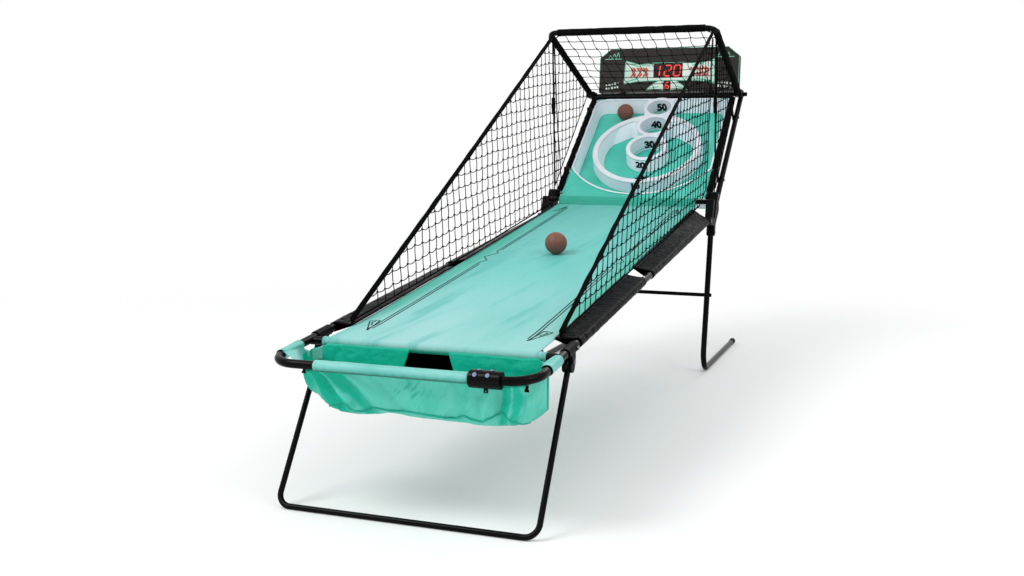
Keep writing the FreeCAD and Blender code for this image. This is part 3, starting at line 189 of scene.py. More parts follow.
# steel: colour, worn colour, roughness and its spread, grain and its depth in metres
blackPaint = hardFinish("blackPaint", "tube_steel", "#060607", "#0a0a0b", 0.22, 0.05, 420, 0.00006,
                        Specular_IOR_Level=0.06)
screwSteel = hardFinish("screwSteel", "screw_steel", "#6f7074", "#55565a", 0.34, 0.1, 500, 0.00005,
                        Metallic=1.0)
buttonSteel = hardFinish("buttonSteel", "button_steel", "#b9babd", "#98999d", 0.18, 0.05, 300, 0.00003,
                         Metallic=1.0)

# moulded parts
mouldedBlack = hardFinish("mouldedBlack", "moulding", "#08080a", "#0d0d0f", 0.46, 0.07, 900, 0.00012,
                          Specular_IOR_Level=0.04)
capRubber = hardFinish("capRubber", "cap_rubber", "#0b0b0c", "#121213", 0.62, 0.08, 700, 0.0001,
                       Specular_IOR_Level=0.06)
keySilver = hardFinish("keySilver", "key_plastic", "#7b88a6", "#56648a", 0.4, 0.06, 260, 0.00005,
                       Specular_IOR_Level=0.15)
caseBlack = hardFinish("caseBlack", "control_case", "#060607", "#0a0a0c", 0.2, 0.06, 800, 0.00006,
                       Specular_IOR_Level=0.08)
rimPale = hardFinish("rimPale", "target_plastic", "#e4e8f0", "#d6dde8", 0.34, 0.06, 60, 0.0002)
circuitGreen = hardFinish("circuitGreen", "circuit", "#1e5a34", "#27693e", 0.4, 0.08, 300, 0.0001)
scoreCase = hardFinish("scoreCase", "score_case", "#282624", "#302d2a", 0.5, 0.08, 700, 0.00012,
                       Specular_IOR_Level=0.12)
lensDark = hardFinish("lensDark", "score_lens", "#210c0c", "#2a1212", 0.18, 0.04, 120, 0.00003,
                      Specular_IOR_Level=0.3)
lampRed = hardFinish("lampRed", "score_lens", "#f0382c", "#f04a3c", 0.4, 0.05, 200, 0.00003,
                     Emission_Strength=0.45, Emission_Color=ink("#ff2a1c"))

# prints
numberInk = hardFinish("numberInk", "target_plastic", "#0b0e0f", "#14191b", 0.55, 0.08, 300, 0.00004,
                       Specular_IOR_Level=0.2)
laneInk = hardFinish("laneInk", "lane_print", "#071d1b", "#0d2b28", 0.75, 0.08, 900, 0.00008,
                     Specular_IOR_Level=0.15)
artWhite = hardFinish("artWhite", "score_case", "#d9e6dd", "#c3d4ca", 0.5, 0.08, 300, 0.00005)
artMint = hardFinish("artMint", "score_case", "#6fc7a8", "#58b795", 0.5, 0.08, 300, 0.00005)
artRed = hardFinish("artRed", "score_case", "#cf3524", "#b92a18", 0.5, 0.08, 300, 0.00005)

# webbing, cord and cloth
webBlack = hardFinish("webBlack", "strap_web", "#070708", "#0d0d0e", 0.85, 0.08, 600, 0.0003,
                      Specular_IOR_Level=0.03)
cordBlack = hardFinish("cordBlack", "net_cord", "#060607", "#0b0b0c", 0.88, 0.06, 1500, 0.0004,
                       Specular_IOR_Level=0.02)
# the ramp is the lane's own cloth, painted a darker teal as shade under the board's lower edge
rampClothShaded = clothFinish("rampClothShaded", "lane_print", "#38b39e", "#2ca792", "#219883", 0.5, 0.0011, 0.0012,
                        Specular_IOR_Level=0.25)
darkCloth = clothFinish("darkCloth", "dark_cloth", "#0f1a18", "#0b1211", "#070b0a", 0.7, 0.001, 0.0018,
                        Specular_IOR_Level=0.06)
pouchSeam = clothFinish("pouchSeam", "pouch_cloth", "#0fa68e", "#06957d", "#047c68", 0.5, 0.001, 0.001,
                        Specular_IOR_Level=0.25)
wrapCloth = clothFinish("wrapCloth", "dark_cloth", "#0b0b0c", "#080809", "#050506", 0.8, 0.0012, 0.0016,
                        Specular_IOR_Level=0.03)


def laneFinish():
    made = Finish("laneCloth", "lane_print", Specular_IOR_Level=0.3)
    back = made.along((0, 1, 0), (0, frontY, 0))
    across = made.along((1, 0, 0))
    outer = (across * across).ramp(0.036, 0.052)
    broad = made.noise(2.4, 3, 0.55, by=(1.8, 0.6, 1))
    streak = made.noise(5, 4, 0.6, by=(3.2, 0.32, 1), axis="Z_AXIS", turned=0.14)
    # painted sheen: the cloth is paler and greyer towards the front bar
    colour = made.mix(back.ramp(0.2, 0.95), ink("#94cac8"), ink("#68c3bc"))
    colour = made.mix(broad.ramp(0.42, 0.72) * 0.5, colour, ink("#5cb9af"))
    # painted shade of the creases: darker streaks running along the lane
    colour = made.mix(streak.ramp(0.53, 0.68) * 0.6, colour, ink("#47aca3"))
    colour = made.mix(back.ramp(1.1, 1.8) * 0.6, colour, ink("#55b5a9"))
    # painted shade: the strips outside the border lines, beside the rail sleeves, are darker from a quarter
    # metre back
    strip = outer * back.ramp(0.25, 0.5) * broad.ramp(0.2, 0.6)
    colour = made.mix(strip, colour, ink("#41b39f"))
    # painted shade: the lower half of the hem round the front tube is darker
    under = made.along((0, 0, 1), spot(0, 0, 338)).ramp(-0.006, 0.001, 0.85, 0.0)
    made.paint("Base Color", made.mix(under, colour, ink("#10ad93")))
    made.paint("Roughness", streak.ramp(0.3, 0.7, 0.46, 0.6))
    creases = made.noise(13, 4, 0.5, by=(2.4, 0.4, 1.0), axis="Z_AXIS", turned=0.2)
    made.cloth(0.0011, made.relief(creases, 0.0022))
    return made


# the pouch is painted paler on the lit faces of its pulled folds and deeper in their shade: place along the
# bar in mm, share of the deep, shaded colour
pouchFoldShading = ((-283, 0.45), (-232, 0.8), (-205, 1.0), (-180, 0.95), (-168, 0.15), (-156, 0.3), (-142, 0.95),
              (-118, 0.7), (-98, 0.2), (-20, 0.12), (60, 0.3), (110, 0.1), (150, 0.35), (166, 0.05),
              (182, 0.3), (216, 0.12), (228, 1.0), (238, 0.9), (243, 0.15), (250, 0.95), (258, 0.8),
              (266, 0.2), (283, 0.25))


def pouchFinish():
    half = -pouchFoldShading[0][0]
    made = Finish("pouchCloth", "pouch_cloth", Specular_IOR_Level=0.2)
    across = made.along((1, 0, 0), spot(0, 0, 0)) * 1000
    drop = (made.along((0, 0, -1), spot(0, 0, 312)) * 1000).ramp(0, 95)
    lean = across.ramp(-140, 90, 88, -12)
    stray = (made.noise(9, 3, 0.5) - 0.5) * 40
    top = across - lean * drop + stray
    stops = [((x + half) / (2 * half), (share, share, share, 1)) for x, share in pouchFoldShading]
    share = made.add("ShaderNodeValToRGB", {"stops": stops}, (top * (0.5 / half) + 0.5,))
    wall = made.along((0, -1, 0), spot(0, 118, 0)).above(0)
    broad = made.noise(13, 3, 0.55, by=(0.9, 0.7, 1.5), turned=0.7)
    fine = made.noise(30, 3, 0.6, by=(0.5, 0.6, 1.8), turned=0.8)
    # painted light and shade: behind the front wall the bag takes the deep colour all through, as shade
    # inside it, and diagonal streaks darken the folds further
    deep = (share * wall + (1 - wall) + (broad - 0.5) * 1.3).ramp(0.1, 0.9)
    colour = made.mix(deep, ink("#5ac8b5"), ink("#09b497"))
    # painted shade: finer diagonal streaks along the folds
    made.paint("Base Color", made.mix(fine.ramp(0.56, 0.7) * 0.6, colour, ink("#02a388")))
    made.paint("Roughness", broad.ramp(0.3, 0.7, 0.34, 0.5))
    made.cloth(0.001, made.relief(made.noise(34, 4, 0.55, by=(1.0, 0.5, 1.0)), 0.0045))
    return made


def barFinish():  # the underside of the sleeve on the front bar lies in shade
    made = Finish("barVinyl", "bar_vinyl", Specular_IOR_Level=0.3, Coat_Weight=0.1)
    broad = made.noise(4.5, 3, 0.55, by=(0.8, 0.7, 1.8))
    colour = made.mix(broad.ramp(0.36, 0.6), ink("#7ac6be"), ink("#60b8af"))
    onBar = made.along((0, 1, 0), spot(0, 0, 0)).below(0.013)
    height = made.along((0, 0, 1), spot(0, 0, 322)) * 1000 + (made.noise(60, 3) - 0.5) * 5
    colour = made.mix(height.ramp(-7, 3, 0.9, 0.0) * onBar, colour, ink("#2fa393"))
    made.paint("Base Color", made.mix(height.ramp(-8.0, -5.0, 0.9, 0.0) * onBar, colour, ink("#33695f")))
    made.paint("Roughness", broad.ramp(0.3, 0.7, 0.32, 0.46))
    made.cloth(0.0012, made.relief(made.noise(34, 4, 0.55, by=(1.0, 0.5, 1.0)), 0.0014))
    return made


def railVinylFinish():
    made = Finish("railVinyl", "rail_vinyl", Specular_IOR_Level=0.018)
    broad = made.noise(11, 4, 0.6, by=(1.0, 0.5, 1.0))
    made.paint("Base Color", made.mix(broad.ramp(0.4, 0.8), ink("#060607"), ink("#0c0c0e")))
    made.paint("Roughness", broad.ramp(0.25, 0.75, 0.26, 0.42))
    wrinkles = made.relief(made.noise(24, 3, 0.5, by=(0.7, 3.2, 0.7)), 0.004, 0.9)
    creases = made.relief(made.noise(22, 4, 0.55, by=(1.4, 0.4, 1.4)), 0.004, 0.9, under=wrinkles)
    made.paint("Normal", made.relief(made.noise(900, 2), 0.00008, 0.5, under=creases))
    return made


def ballFinish():
    made = Finish("ballBrown", "ball")
    fleck = made.noise(160, 3, 0.6)
    colour = made.mix(made.noise(14, 2).ramp(0.35, 0.7), ink("#7a4938"), ink("#6d3f30"))
    made.paint("Base Color", made.mix(fleck.ramp(0.62, 0.8) * 0.5, colour, ink("#553023")))
    made.paint("Roughness", fleck.ramp(0.3, 0.7, 0.46, 0.6))
    made.paint("Normal", made.relief(made.noise(420, 3, 0.6), 0.0003))
    return made


# the target board's own directions: up its slope, and out of its face
slope = math.radians(38.07)
boardFoot = spot(0, 1861, 589)
boardAlong = Vector((0, math.cos(slope), math.sin(slope)))
boardUp = Vector((0, -math.sin(slope), math.cos(slope)))


def board(x, s, h):
    return boardFoot + Vector((x / 1000, 0, 0)) + boardAlong * (s / 1000) + boardUp * (h / 1000)


def targetFinish():  # pale walls, a teal channel floor and a white rolled edge, told apart by their heights
    made = Finish("targetPlastic", "target_plastic")
    high = made.along(tuple(boardUp), tuple(boardFoot)) * 1000
    up = made.along(tuple(boardAlong), tuple(boardFoot)) * 1000
    cloudy = made.noise(7, 3)
    wall = made.mix(cloudy.ramp(0.3, 0.7), ink("#e9f5fb"), ink("#dcedf6"))
    # painted shading: the walls turn greyer towards their top edge
    wall = made.mix(high.ramp(-40, -2) * 0.4, wall, ink("#dfeaf2"))
    floor = made.mix(cloudy.ramp(0.3, 0.7), ink("#4fcbb8"), ink("#3abda9"))
    deck = made.mix(cloudy.ramp(0.3, 0.7), ink("#c3d6e2"), ink("#b6cedb"))
    deck = made.mix(up.below(235) + up.above(588.5), deck, floor)
    colour = made.mix(high.above(-4.5), wall, deck)
    colour = made.mix(high.above(-1.6), colour, ink("#e6ebf3"))
    inFloor = high.below(-46.0) * high.above(-49.5) + high.below(-56.0)
    made.paint("Base Color", made.mix(inFloor, colour, floor))
    made.paint("Roughness", cloudy.ramp(0.2, 0.8, 0.3, 0.42))
    made.paint("Normal", made.relief(made.noise(38, 3), 0.0006))
    return made


laneCloth = laneFinish()
pouchCloth = pouchFinish()
barVinyl = barFinish()
railVinyl = railVinylFinish()
ballBrown = ballFinish()
targetPlastic = targetFinish()

# the pieces that show the frame's own meshes
nodeFinishes = {
    blackPaint: ["front_rail", "rear_rail_left", "rear_rail_right", "front_leg", "rear_leg_left",
                 "rear_leg_right", "rear_cross_bar", "target_frame", "top_cross_bar", "net_frame",
                 "lane_front_tube", "ramp_tube"],
    mouldedBlack: ["leg_bracket_left", "leg_bracket_right", "knuckle_left", "knuckle_right",
                   "frame_standoffs", "net_elbows", "tube_caps", "score_brackets", "cord_slider_left",
                   "cord_slider_right"],
    capRubber: ["foot_caps"],
    screwSteel: ["frame_screws", "leg_pivot_bolts"],
    buttonSteel: ["snap_button_left", "snap_button_right"],
    keySilver: ["score_key_left", "score_key_right", "play_button_left", "play_button_right"],
    circuitGreen: ["score_circuit"],
    caseBlack: ["control_box_lower", "control_box_upper"],
    lensDark: ["score_windows"],
    scoreCase: ["score_front_shell", "score_back_shell", "battery_cover"],
    targetPlastic: ["target_board", "target_ring", "target_cups"],
    ballBrown: ["ball_on_lane", "ball_on_target"],
}
for finish, names in nodeFinishes.items():
    for name in names:
        nodes[name].data.materials.clear()
        nodes[name].data.materials.append(finish.material)
print("finishes set on", sum(len(names) for names in nodeFinishes.values()), "nodes")


# how pieces are made
def ripple(*values):
    return noise.noise(Vector(values))


def smooth(low, high, value):
    share = min(1, max(0, (value - low) / (high - low)))
    return share * share * (3 - 2 * share)


def between(a, b, share):
    return a + (b - a) * share


def walk(a, b, steps):  # the places from a to b, both of them counted
    return [between(a, b, i / steps) for i in range(steps + 1)]


def bow(share):  # nothing at both ends, one in the middle
    return math.sin(math.pi * share)


def sideways(a, b, reach):  # a step to the left of the way from a to b
    length = math.hypot(b[0] - a[0], b[1] - a[1]) or 1
    return -(b[1] - a[1]) / length * reach, (b[0] - a[0]) / length * reach


def headings(line):
    last = len(line) - 1
    return [(line[min(i + 1, last)] - line[max(i - 1, 0)]).normalized() for i in range(last + 1)]


def curve(points, count):  # a smooth line through the points
    out = []
    last = len(points) - 1
    for step in range(count):
        place = step / (count - 1) * last
        i = min(int(place), last - 1)
        t = place - i
        a, b, c, d = (points[min(max(i + k, 0), last)] for k in (-1, 0, 1, 2))
        out.append(tuple(0.5 * (2 * q + (r - p) * t + (2 * p - 5 * q + 4 * r - s) * t * t
                                + (3 * q - p - 3 * r + s) * t ** 3) for p, q, r, s in zip(a, b, c, d)))
    return out


strapSection = ((1, 0.55), (0.92, 1), (0, 0.85), (-0.92, 1), (-1, 0.55),
                (-1, -0.55), (-0.92, -1), (0, -0.85), (0.92, -1), (1, -0.55))


class Stock:  # gathers the faces of one piece, in the frame's metres
    def __init__(self):
        self.points = []
        self.faces = []

    def grid(self, rows, loop=False, keep=None):
        first = len(self.points)
        width = len(rows[0])
        for row in rows:
            self.points.extend(row)
        for r in range(len(rows) - 1):
            for c in range(width if loop else width - 1):
                if keep and not keep(r, c):
                    continue
                d = (c + 1) % width
                a = first + r * width
                self.faces.append((a + c, a + d, a + width + d, a + width + c))

    def cap(self, ring, flip=False):
        first = len(self.points)
        self.points.append(sum(ring, Vector()) / len(ring))
        self.points.extend(ring)
        count = len(ring)
        for i in range(count):
            a, b = first + 1 + i, first + 1 + (i + 1) % count
            self.faces.append((first, b, a) if flip else (first, a, b))

    def tube(self, rings, capped=True):
        self.grid(rings, loop=True)
        if capped:
            self.cap(rings[0], flip=True)
            self.cap(rings[-1])

    def strand(self, line, radius, sides=6, capped=True):  # round; the radius may vary along and round it
        rings = []
        side = None
        for index, (point, ahead) in enumerate(zip(line, headings(line))):
            if side is None:
                side = ahead.cross(Vector((0, 0, 1)))
                side = side if side.length > 0.05 else ahead.orthogonal()
            side = (side - ahead * side.dot(ahead)).normalized()
            over = ahead.cross(side)
            ring = []
            for k in range(sides):
                turn = 2 * math.pi * k / sides
                reach = radius(index / (len(line) - 1), turn) if callable(radius) else radius
                ring.append(point + (side * math.cos(turn) + over * math.sin(turn)) * reach)
            rings.append(ring)
        self.tube(rings, capped)

    def band(self, line, across, width, thick):  # a flat strap; across gives its width's way
        rings = []
        for index, (point, ahead) in enumerate(zip(line, headings(line))):
            wide = across(index / (len(line) - 1))
            wide = (wide - ahead * wide.dot(ahead)).normalized() * (width / 2)
            out = ahead.cross(wide).normalized() * (thick / 2)
            rings.append([point + wide * a + out * b for a, b in strapSection])
        self.tube(rings)

    def knot(self, centre, size):
        ball = bmesh.new()
        bmesh.ops.create_icosphere(ball, subdivisions=1, radius=size)
        first = len(self.points)
        turn = Matrix.Rotation(ripple(*(centre * 90)) * 3, 3, "X")
        for v in ball.verts:
            self.points.append(centre + turn @ Vector((v.co.x * 1.15, v.co.y * 1.15, v.co.z * 0.85)))
        for f in ball.faces:
            self.faces.append(tuple(first + v.index for v in f.verts))
        ball.free()

    def plate(self, outline, out, thick):  # a flat shape of a few corners, raised by its thickness
        first = len(self.points)
        count = len(outline)
        self.points.extend([p + out * thick for p in outline])
        self.points.extend(outline)
        self.faces.append(tuple(range(first, first + count)))
        for i in range(count):
            j = (i + 1) % count
            self.faces.append((first + j, first + i, first + count + i, first + count + j))

    def piece(self, name, finish, body="frame", standsFor=(), thick=0.0, sharp=None):
        mesh = bpy.data.meshes.new(name)
        mesh.from_pydata([tuple(p) for p in self.points], [], self.faces)
        mesh.update()
        work = bmesh.new()
        work.from_mesh(mesh)
        bmesh.ops.remove_doubles(work, verts=work.verts, dist=0.00002)
        if not thick:
            bmesh.ops.recalc_face_normals(work, faces=work.faces)
        work.to_mesh(mesh)
        work.free()
        made = bpy.data.objects.new(name, mesh)
        bpy.context.scene.collection.objects.link(made)
        if thick:  # a thickness below zero grows outwards
            skin = made.modifiers.new("thickness", "SOLIDIFY")
            skin.thickness = abs(thick)
            skin.offset = -1 if thick > 0 else 1
            graph = bpy.context.evaluated_depsgraph_get()
            made.data = bpy.data.meshes.new_from_object(made.evaluated_get(graph))
            made.modifiers.clear()
        made.data.materials.clear()
        made.data.materials.append(finish.material)
        made.data.shade_smooth()
        if sharp:
            made.data.set_sharp_from_angle(angle=math.radians(sharp))
        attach(made, body)
        if standsFor:
            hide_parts(*standsFor)
        return made


# places taken from the frame's own lines, in millimetres
sides = {-1: "left", 1: "right"}
railX, barZ = 295, 322
railSlope = math.tan(math.radians(6.41))


def railZ(y):
    return barZ + railSlope * y


def laneZ(y):
    return 323.2 + 0.12269 * y + 6.9e-6 * y * y


netLean = {"frontY": 272, "lowX": 253, "topX": 286, "topZ": 1167}


def netX(z):  # the side nets lean outwards, from the lane's edge up to the net frame
    low = laneZ(netLean["frontY"])
    return between(netLean["lowX"], netLean["topX"], (z - low) / (netLean["topZ"] - low))


# the lane: the hem is wrapped round its tube between two angles, and the cloth lifts to it over a short way
lane = {"half": 246, "hemHalf": 262, "tubeY": 175, "tubeZ": 338.16, "wrapFrom": 338, "wrapTo": 96,
        "wrap": 11.55, "crease": 1788, "across": 44, "along": 110, "lift": 4.6, "liftOver": 134,
        "ripple": 0.55, "cloth": 0.0014}
laneXs = walk(-lane["half"], lane["half"], lane["across"])


def laneTop(x, y):
    z = laneZ(y) + lane["lift"] * max(0, 1 - (y - lane["tubeY"]) / lane["liftOver"])
    creases = 0.18 + 0.5 * smooth(150, lane["half"], abs(x)) * (1 - smooth(180, 620, y))
    return z + ripple(x / 70 + y / 260, y / 210, 1) * lane["ripple"] + ripple(x / 16, y / 120, 7) * creases


def makeLane():
    stock = Stock()
    rows = []
    for degrees in walk(lane["wrapFrom"], lane["wrapTo"], 15):
        turn = math.radians(degrees)
        row = []
        for x in laneXs:
            reach = lane["wrap"] + 0.25 * ripple(x / 30, turn * 2, 4)
            y, z = lane["tubeY"] + reach * math.cos(turn), lane["tubeZ"] + reach * math.sin(turn)
            row.append(spot(x, y, z))
        rows.append(row)
    for y in walk(lane["tubeY"] + 3, lane["crease"], lane["along"]):
        rows.append([spot(x, y, laneTop(x, y)) for x in laneXs])
    stock.grid(rows)
    sheet = stock.piece("laneSheet", laneCloth, standsFor=["lane_cloth"], thick=lane["cloth"])
    hem = Stock()
    line = [spot(x, lane["tubeY"], lane["tubeZ"]) for x in walk(-lane["hemHalf"], lane["hemHalf"], 60)]
    hem.strand(line, lambda along, turn: 0.0112 + 0.00035 * ripple(along * 40, turn, 3), sides=28)
    roll = hem.piece("laneHem", laneCloth)


ramp = {"profile": ((1788.4, 564.3), (1790.2, 569), (1792.2, 576.5), (1794.4, 583.5), (1798.2, 588.2),
                    (1803, 590.2), (1815, 590.4), (1831, 590.1), (1845, 589.7), (1851.6, 589.6)),
        "steps": 30, "cloth": 0.0014}


def makeRamp():
    stock = Stock()
    rows = []
    for y, z in curve(ramp["profile"], ramp["steps"]):
        rows.append([spot(x, y, z + 0.25 * ripple(x / 24, y / 9, 2)) for x in laneXs])
    stock.grid(rows)
    sheet = stock.piece("rampSheet", rampClothShaded, standsFor=["ramp_cloth"], thick=ramp["cloth"])


# printed marks on the lane: two plain border lines a side and a few open triangles
laneMarks = {"raise": 0.35, "wide": 2.9, "step": 12, "ink": 0.0002,
             "lines": (((196, 248), (196, 925)), ((188, 262), (188, 905)),
                       ((196, 1062), (196, 1735)), ((188, 1080), (188, 1718))),
             "shapes": (((192, 244), (226, 322), (203, 330), (192, 244)),
                        ((204, 288), (216, 316), (208, 319)),
                        ((196, 925), (184, 948), (196, 971)), ((196, 968), (208, 990), (196, 1014)),
                        ((196, 1016), (184, 1038), (196, 1062)),
                        ((196, 1735), (223, 1652), (206, 1664), (196, 1735)))}


def makeLaneMarks():
    stock = Stock()
    for side in sides:
        for mark in laneMarks["lines"] + laneMarks["shapes"]:
            points = [(side * x, y) for x, y in mark]
            for a, b in zip(points, points[1:]):
                nx, ny = sideways(a, b, laneMarks["wide"] / 2)
                rows = []
                for share in walk(0, 1, max(2, int(math.dist(a, b) / laneMarks["step"]))):
                    x, y = between(a[0], b[0], share), between(a[1], b[1], share)
                    z = laneTop(x, y) + laneMarks["raise"]
                    rows.append([spot(x - nx, y - ny, z), spot(x + nx, y + ny, z)])
                stock.grid(rows)
    stock.piece("laneMarks", laneInk, thick=laneMarks["ink"])


makeLane()
makeRamp()
makeLaneMarks()
print("lane, ramp and printed marks made")


# vinyl sleeves on the rails: from the lane's edge over the rail, round it and back under the lane
railSleeve = {"spans": {"front": (272, 850), "rear": (930, 1730)}, "step": 7, "tube": 11.2, "tip": 246.6,
              "topTip": 3.8, "lowTip": 0.5, "crease": 1.5, "cloth": 0.0012}


def sleeveSection(side, y):
    centreZ = railZ(y)
    radius = railSleeve["tube"]

    def onTube(turn):
        return railX + radius * math.cos(turn), centreZ + radius * math.sin(turn)

    tips = [(railSleeve["tip"], laneZ(y) + railSleeve[name]) for name in ("topTip", "lowTip")]
    angles = []
    for (x, z), way in zip(tips, (-1, 1)):
        away = math.hypot(x - railX, z - centreZ)
        angles.append(math.atan2(z - centreZ, x - railX) + way * math.acos(radius / away))
    top, low = angles[0], angles[1] - 2 * math.pi
    (overX, overZ), (underX, underZ) = onTube(top), onTube(low)
    flat = []  # x, z, how loose the cloth is there, and the place round the section
    for t in walk(0, 1, 13)[:-1]:
        flat.append((between(tips[0][0], overX, t), between(tips[0][1], overZ, t) - bow(t), 1.0, t))
    for t in walk(0, 1, 21):
        flat.append(onTube(between(top, low, t)) + (0.75, 1 + t))
    for t in walk(0, 1, 8)[1:]:
        flat.append((between(underX, tips[1][0], t), between(underZ, tips[1][1], t), 0.5 * (1 - t), 2 + t))
    out = []
    for i, (x, z, loose, place) in enumerate(flat):
        fold = ripple(y / 34 + place * 1.6, place * 2.2 - y / 90, side * 9)
        fold += 0.5 * ripple(y / 13 + place * 3, place * 4 + y / 60, side * 5)
        push = (fold * 0.8 + 0.55) * railSleeve["crease"] * loose
        nx, nz = sideways(flat[i - 1], flat[(i + 1) % len(flat)], push)
        out.append(spot(side * (x + nx), y, z + nz))
    return out if side > 0 else out[::-1]


def makeRailSleeves():
    for side, sideName in sides.items():
        for part, (start, end) in railSleeve["spans"].items():
            stock = Stock()
            ys = walk(start, end, int((end - start) / railSleeve["step"]))
            stock.grid([sleeveSection(side, y) for y in ys], loop=True)
            name = part + sideName.capitalize() + "Sleeve"
            node = "rail_sleeve_%s_%s" % (part, sideName)
            made = stock.piece(name, railVinyl, standsFor=[node], thick=railSleeve["cloth"])


makeRailSleeves()
print("rail sleeves made")


# teal sleeves on the front bar and at the pouch's corners, with a flap from each rail to the bag
barSleeve = {"left": -182, "right": 162, "reach": 0.0114, "lump": 0.0006, "cloth": 0.0002,
             "loops": {-1: (50, 124), 1: (80, 149)}, "loopReach": 0.0116, "loopLump": 0.0012, "tail": 0.0045,
             "webTop": ((288, 123, 334), (281, 137, 323), (271, 151, 324), (256, 161, 333)),
             "webLow": ((284, 119, 314), (281, 131, 304), (275, 147, 299), (258, 159, 300)), "webLoose": 1.2,
             "rightTopX": 285.6, "rightFootX": 279.5, "rightFootY": 106, "leftTopX": (292, 286),
             "leftFootX": (216, 281), "flapFootZ": 313, "flapLoose": 1.6}


def barReach(along, turn):
    lumps = 0.6 + ripple(along * 12, turn * 1.3, 2) + 0.4 * ripple(along * 50, turn * 2, 5)
    return barSleeve["reach"] + barSleeve["lump"] * lumps


def loopReach(side):
    def reach(along, turn):
        tail = max(0, math.cos(turn - (math.pi if side > 0 else 0) - side * 0.5)) ** 6
        lumps = barSleeve["loopLump"] * ripple(along * 3, turn * 1.2, side * 3)
        return barSleeve["loopReach"] + lumps + barSleeve["tail"] * tail * (1 - 0.6 * abs(2 * along - 1))
    return reach


def cornerFlap(side, t, u):  # t runs from the rail to the bag, u back along the rail
    start, stop = barSleeve["loops"][side]
    footZ = barSleeve["flapFootZ"]
    if side > 0:
        x = between(barSleeve["rightTopX"], barSleeve["rightFootX"], smooth(0, 1, t))
        y = between(between(start + 8, barSleeve["rightFootY"], t), between(stop - 1, stop - 4, t), u)
        z = between(railZ(y) + 5, footZ + 0.1 * (y - 108), t)
    else:
        onRail = between(start, stop, u)
        foot = between(*barSleeve["leftFootX"], smooth(0, 1, u))
        x = between(between(*barSleeve["leftTopX"], u), foot, t)
        y = between(onRail, pouchFront(-foot) + 2, t)
        z = between(railZ(onRail) + 9.5, footZ, t)
    out = barSleeve["flapLoose"] * ripple(y / 22, t * 2, side * 4) * bow(t)
    return spot(side * (x + out), y, z + out * 0.6)


def makeBarSleeves():
    stock = Stock()
    line = [spot(x, 0, barZ) for x in walk(barSleeve["left"], barSleeve["right"], 70)]
    stock.strand(line, barReach, sides=32, capped=False)
    for side in sides:
        line = [spot(side * railX, y, railZ(y)) for y in walk(*barSleeve["loops"][side], 22)]
        stock.strand(line, loopReach(side), sides=34, capped=False)
        stock.grid([[cornerFlap(side, t, u) for u in walk(0, 1, 24)] for t in walk(0, 1, 14)])
    pairs = list(zip(curve(barSleeve["webTop"], 14), curve(barSleeve["webLow"], 14)))
    for side in sides:
        web = []
        for i in range(7):
            loose = barSleeve["webLoose"] * bow(i / 6)
            row = []
            for k, (p, q) in enumerate(pairs):
                x, y, z = (between(p[n], q[n], i / 6) + loose * ripple(k / 3, i / 4, n) for n in range(3))
                row.append(spot(side * x, y, z))
            web.append(row)
        stock.grid(web)
    made = stock.piece("barSleeves", barVinyl, standsFor=["bar_sleeves"], thick=-barSleeve["cloth"])


# the ball pouch: stations give its depth along the bar, folds their place at the top and the foot, their
# width and their height, and steps the columns of the mesh
pouch = {"half": 283.3,
         "stations": ((-283.3, 56), (-214, 60), (-205, 66), (-194, 78), (-180, 88), (-171, 94), (-150, 103),
                      (-140, 108), (-105, 110), (-59, 105), (-36, 101), (-4, 101), (36, 105), (76, 105),
                      (119, 106), (167, 108), (200, 107), (234, 103), (261, 98), (283.3, 86)),
         "folds": ((-204, -150, 13, 7.0), (-188, -108, 11, -6.5), (-172, -64, 16, 8.5), (-140, -30, 12, -6.5),
                   (-116, 12, 17, 6.0), (-64, 40, 11, -4.0), (10, 60, 20, 4.2), (98, 122, 12, -4.5),
                   (128, 96, 15, 6.0), (170, 186, 10, -5.0), (206, 176, 13, 9.5), (224, 212, 8, -9.0),
                   (240, 246, 11, 9.0), (262, 262, 9, -5.0)),
         "seam": ((-172, 233), (-150, 237), (-121, 241), (-107, 232), (-84, 231), (-56, 240), (-29, 238),
                  (43, 238), (87, 234), (122, 234), (141, 241), (161, 234.5), (180, 233), (199, 242),
                  (212, 249), (224, 254), (237, 246), (249, 237), (258, 229), (264, 226)),
         "steps": ((-283.3, -212, 30), (-212, 235, 112), (235, 272, 12), (272, 283.3, 26)),
         "cornerLeft": -212, "cornerSlope": 1.62, "bendFrom": 235, "bendTo": 272, "bendRadius": 60,
         "endSlope": 9.1, "front": 2, "back": 163.0, "frontZ": 310.6, "backZ": 337, "bend": 38,
         "cloth": 0.0013, "wallPoints": 34, "rearPoints": 14, "mouthTop": 45, "mouthLow": 68, "mouthZ": 268.4,
         "leaning": ((0, 310.6), (4, 290), (18, 270), (45, 252), (83, 237), (110, 231)), "leanFoot": 231,
         "leanReach": 110, "gatherY": 134, "gatherZ": 324}


def fromTable(table, x):
    for (xa, a), (xb, b) in zip(table, table[1:]):
        if x <= xb:
            return between(a, b, smooth(xa, xb, x))
    return table[-1][1]


def foldPush(x, share):
    push = 0
    for top, low, width, height in pouch["folds"]:
        away = abs((x - between(top, low, share)) / (width * (0.5 + 0.7 * share)))
        push += 1.25 * height * math.exp(-away ** 1.35)
    return push * bow(min(1, share * 0.94 + 0.06)) ** 0.7


def pouchFront(x):  # how far behind the front bar the top of the wall is
    if x < pouch["cornerLeft"]:
        return pouch["front"] + (pouch["cornerLeft"] - x) * pouch["cornerSlope"]
    radius = pouch["bendRadius"]
    bent = max(0, min(x, pouch["bendTo"]) - pouch["bendFrom"])
    start = pouch["front"] + radius - math.sqrt(radius * radius - bent * bent)
    return start + max(0, x - pouch["bendTo"]) * pouch["endSlope"]


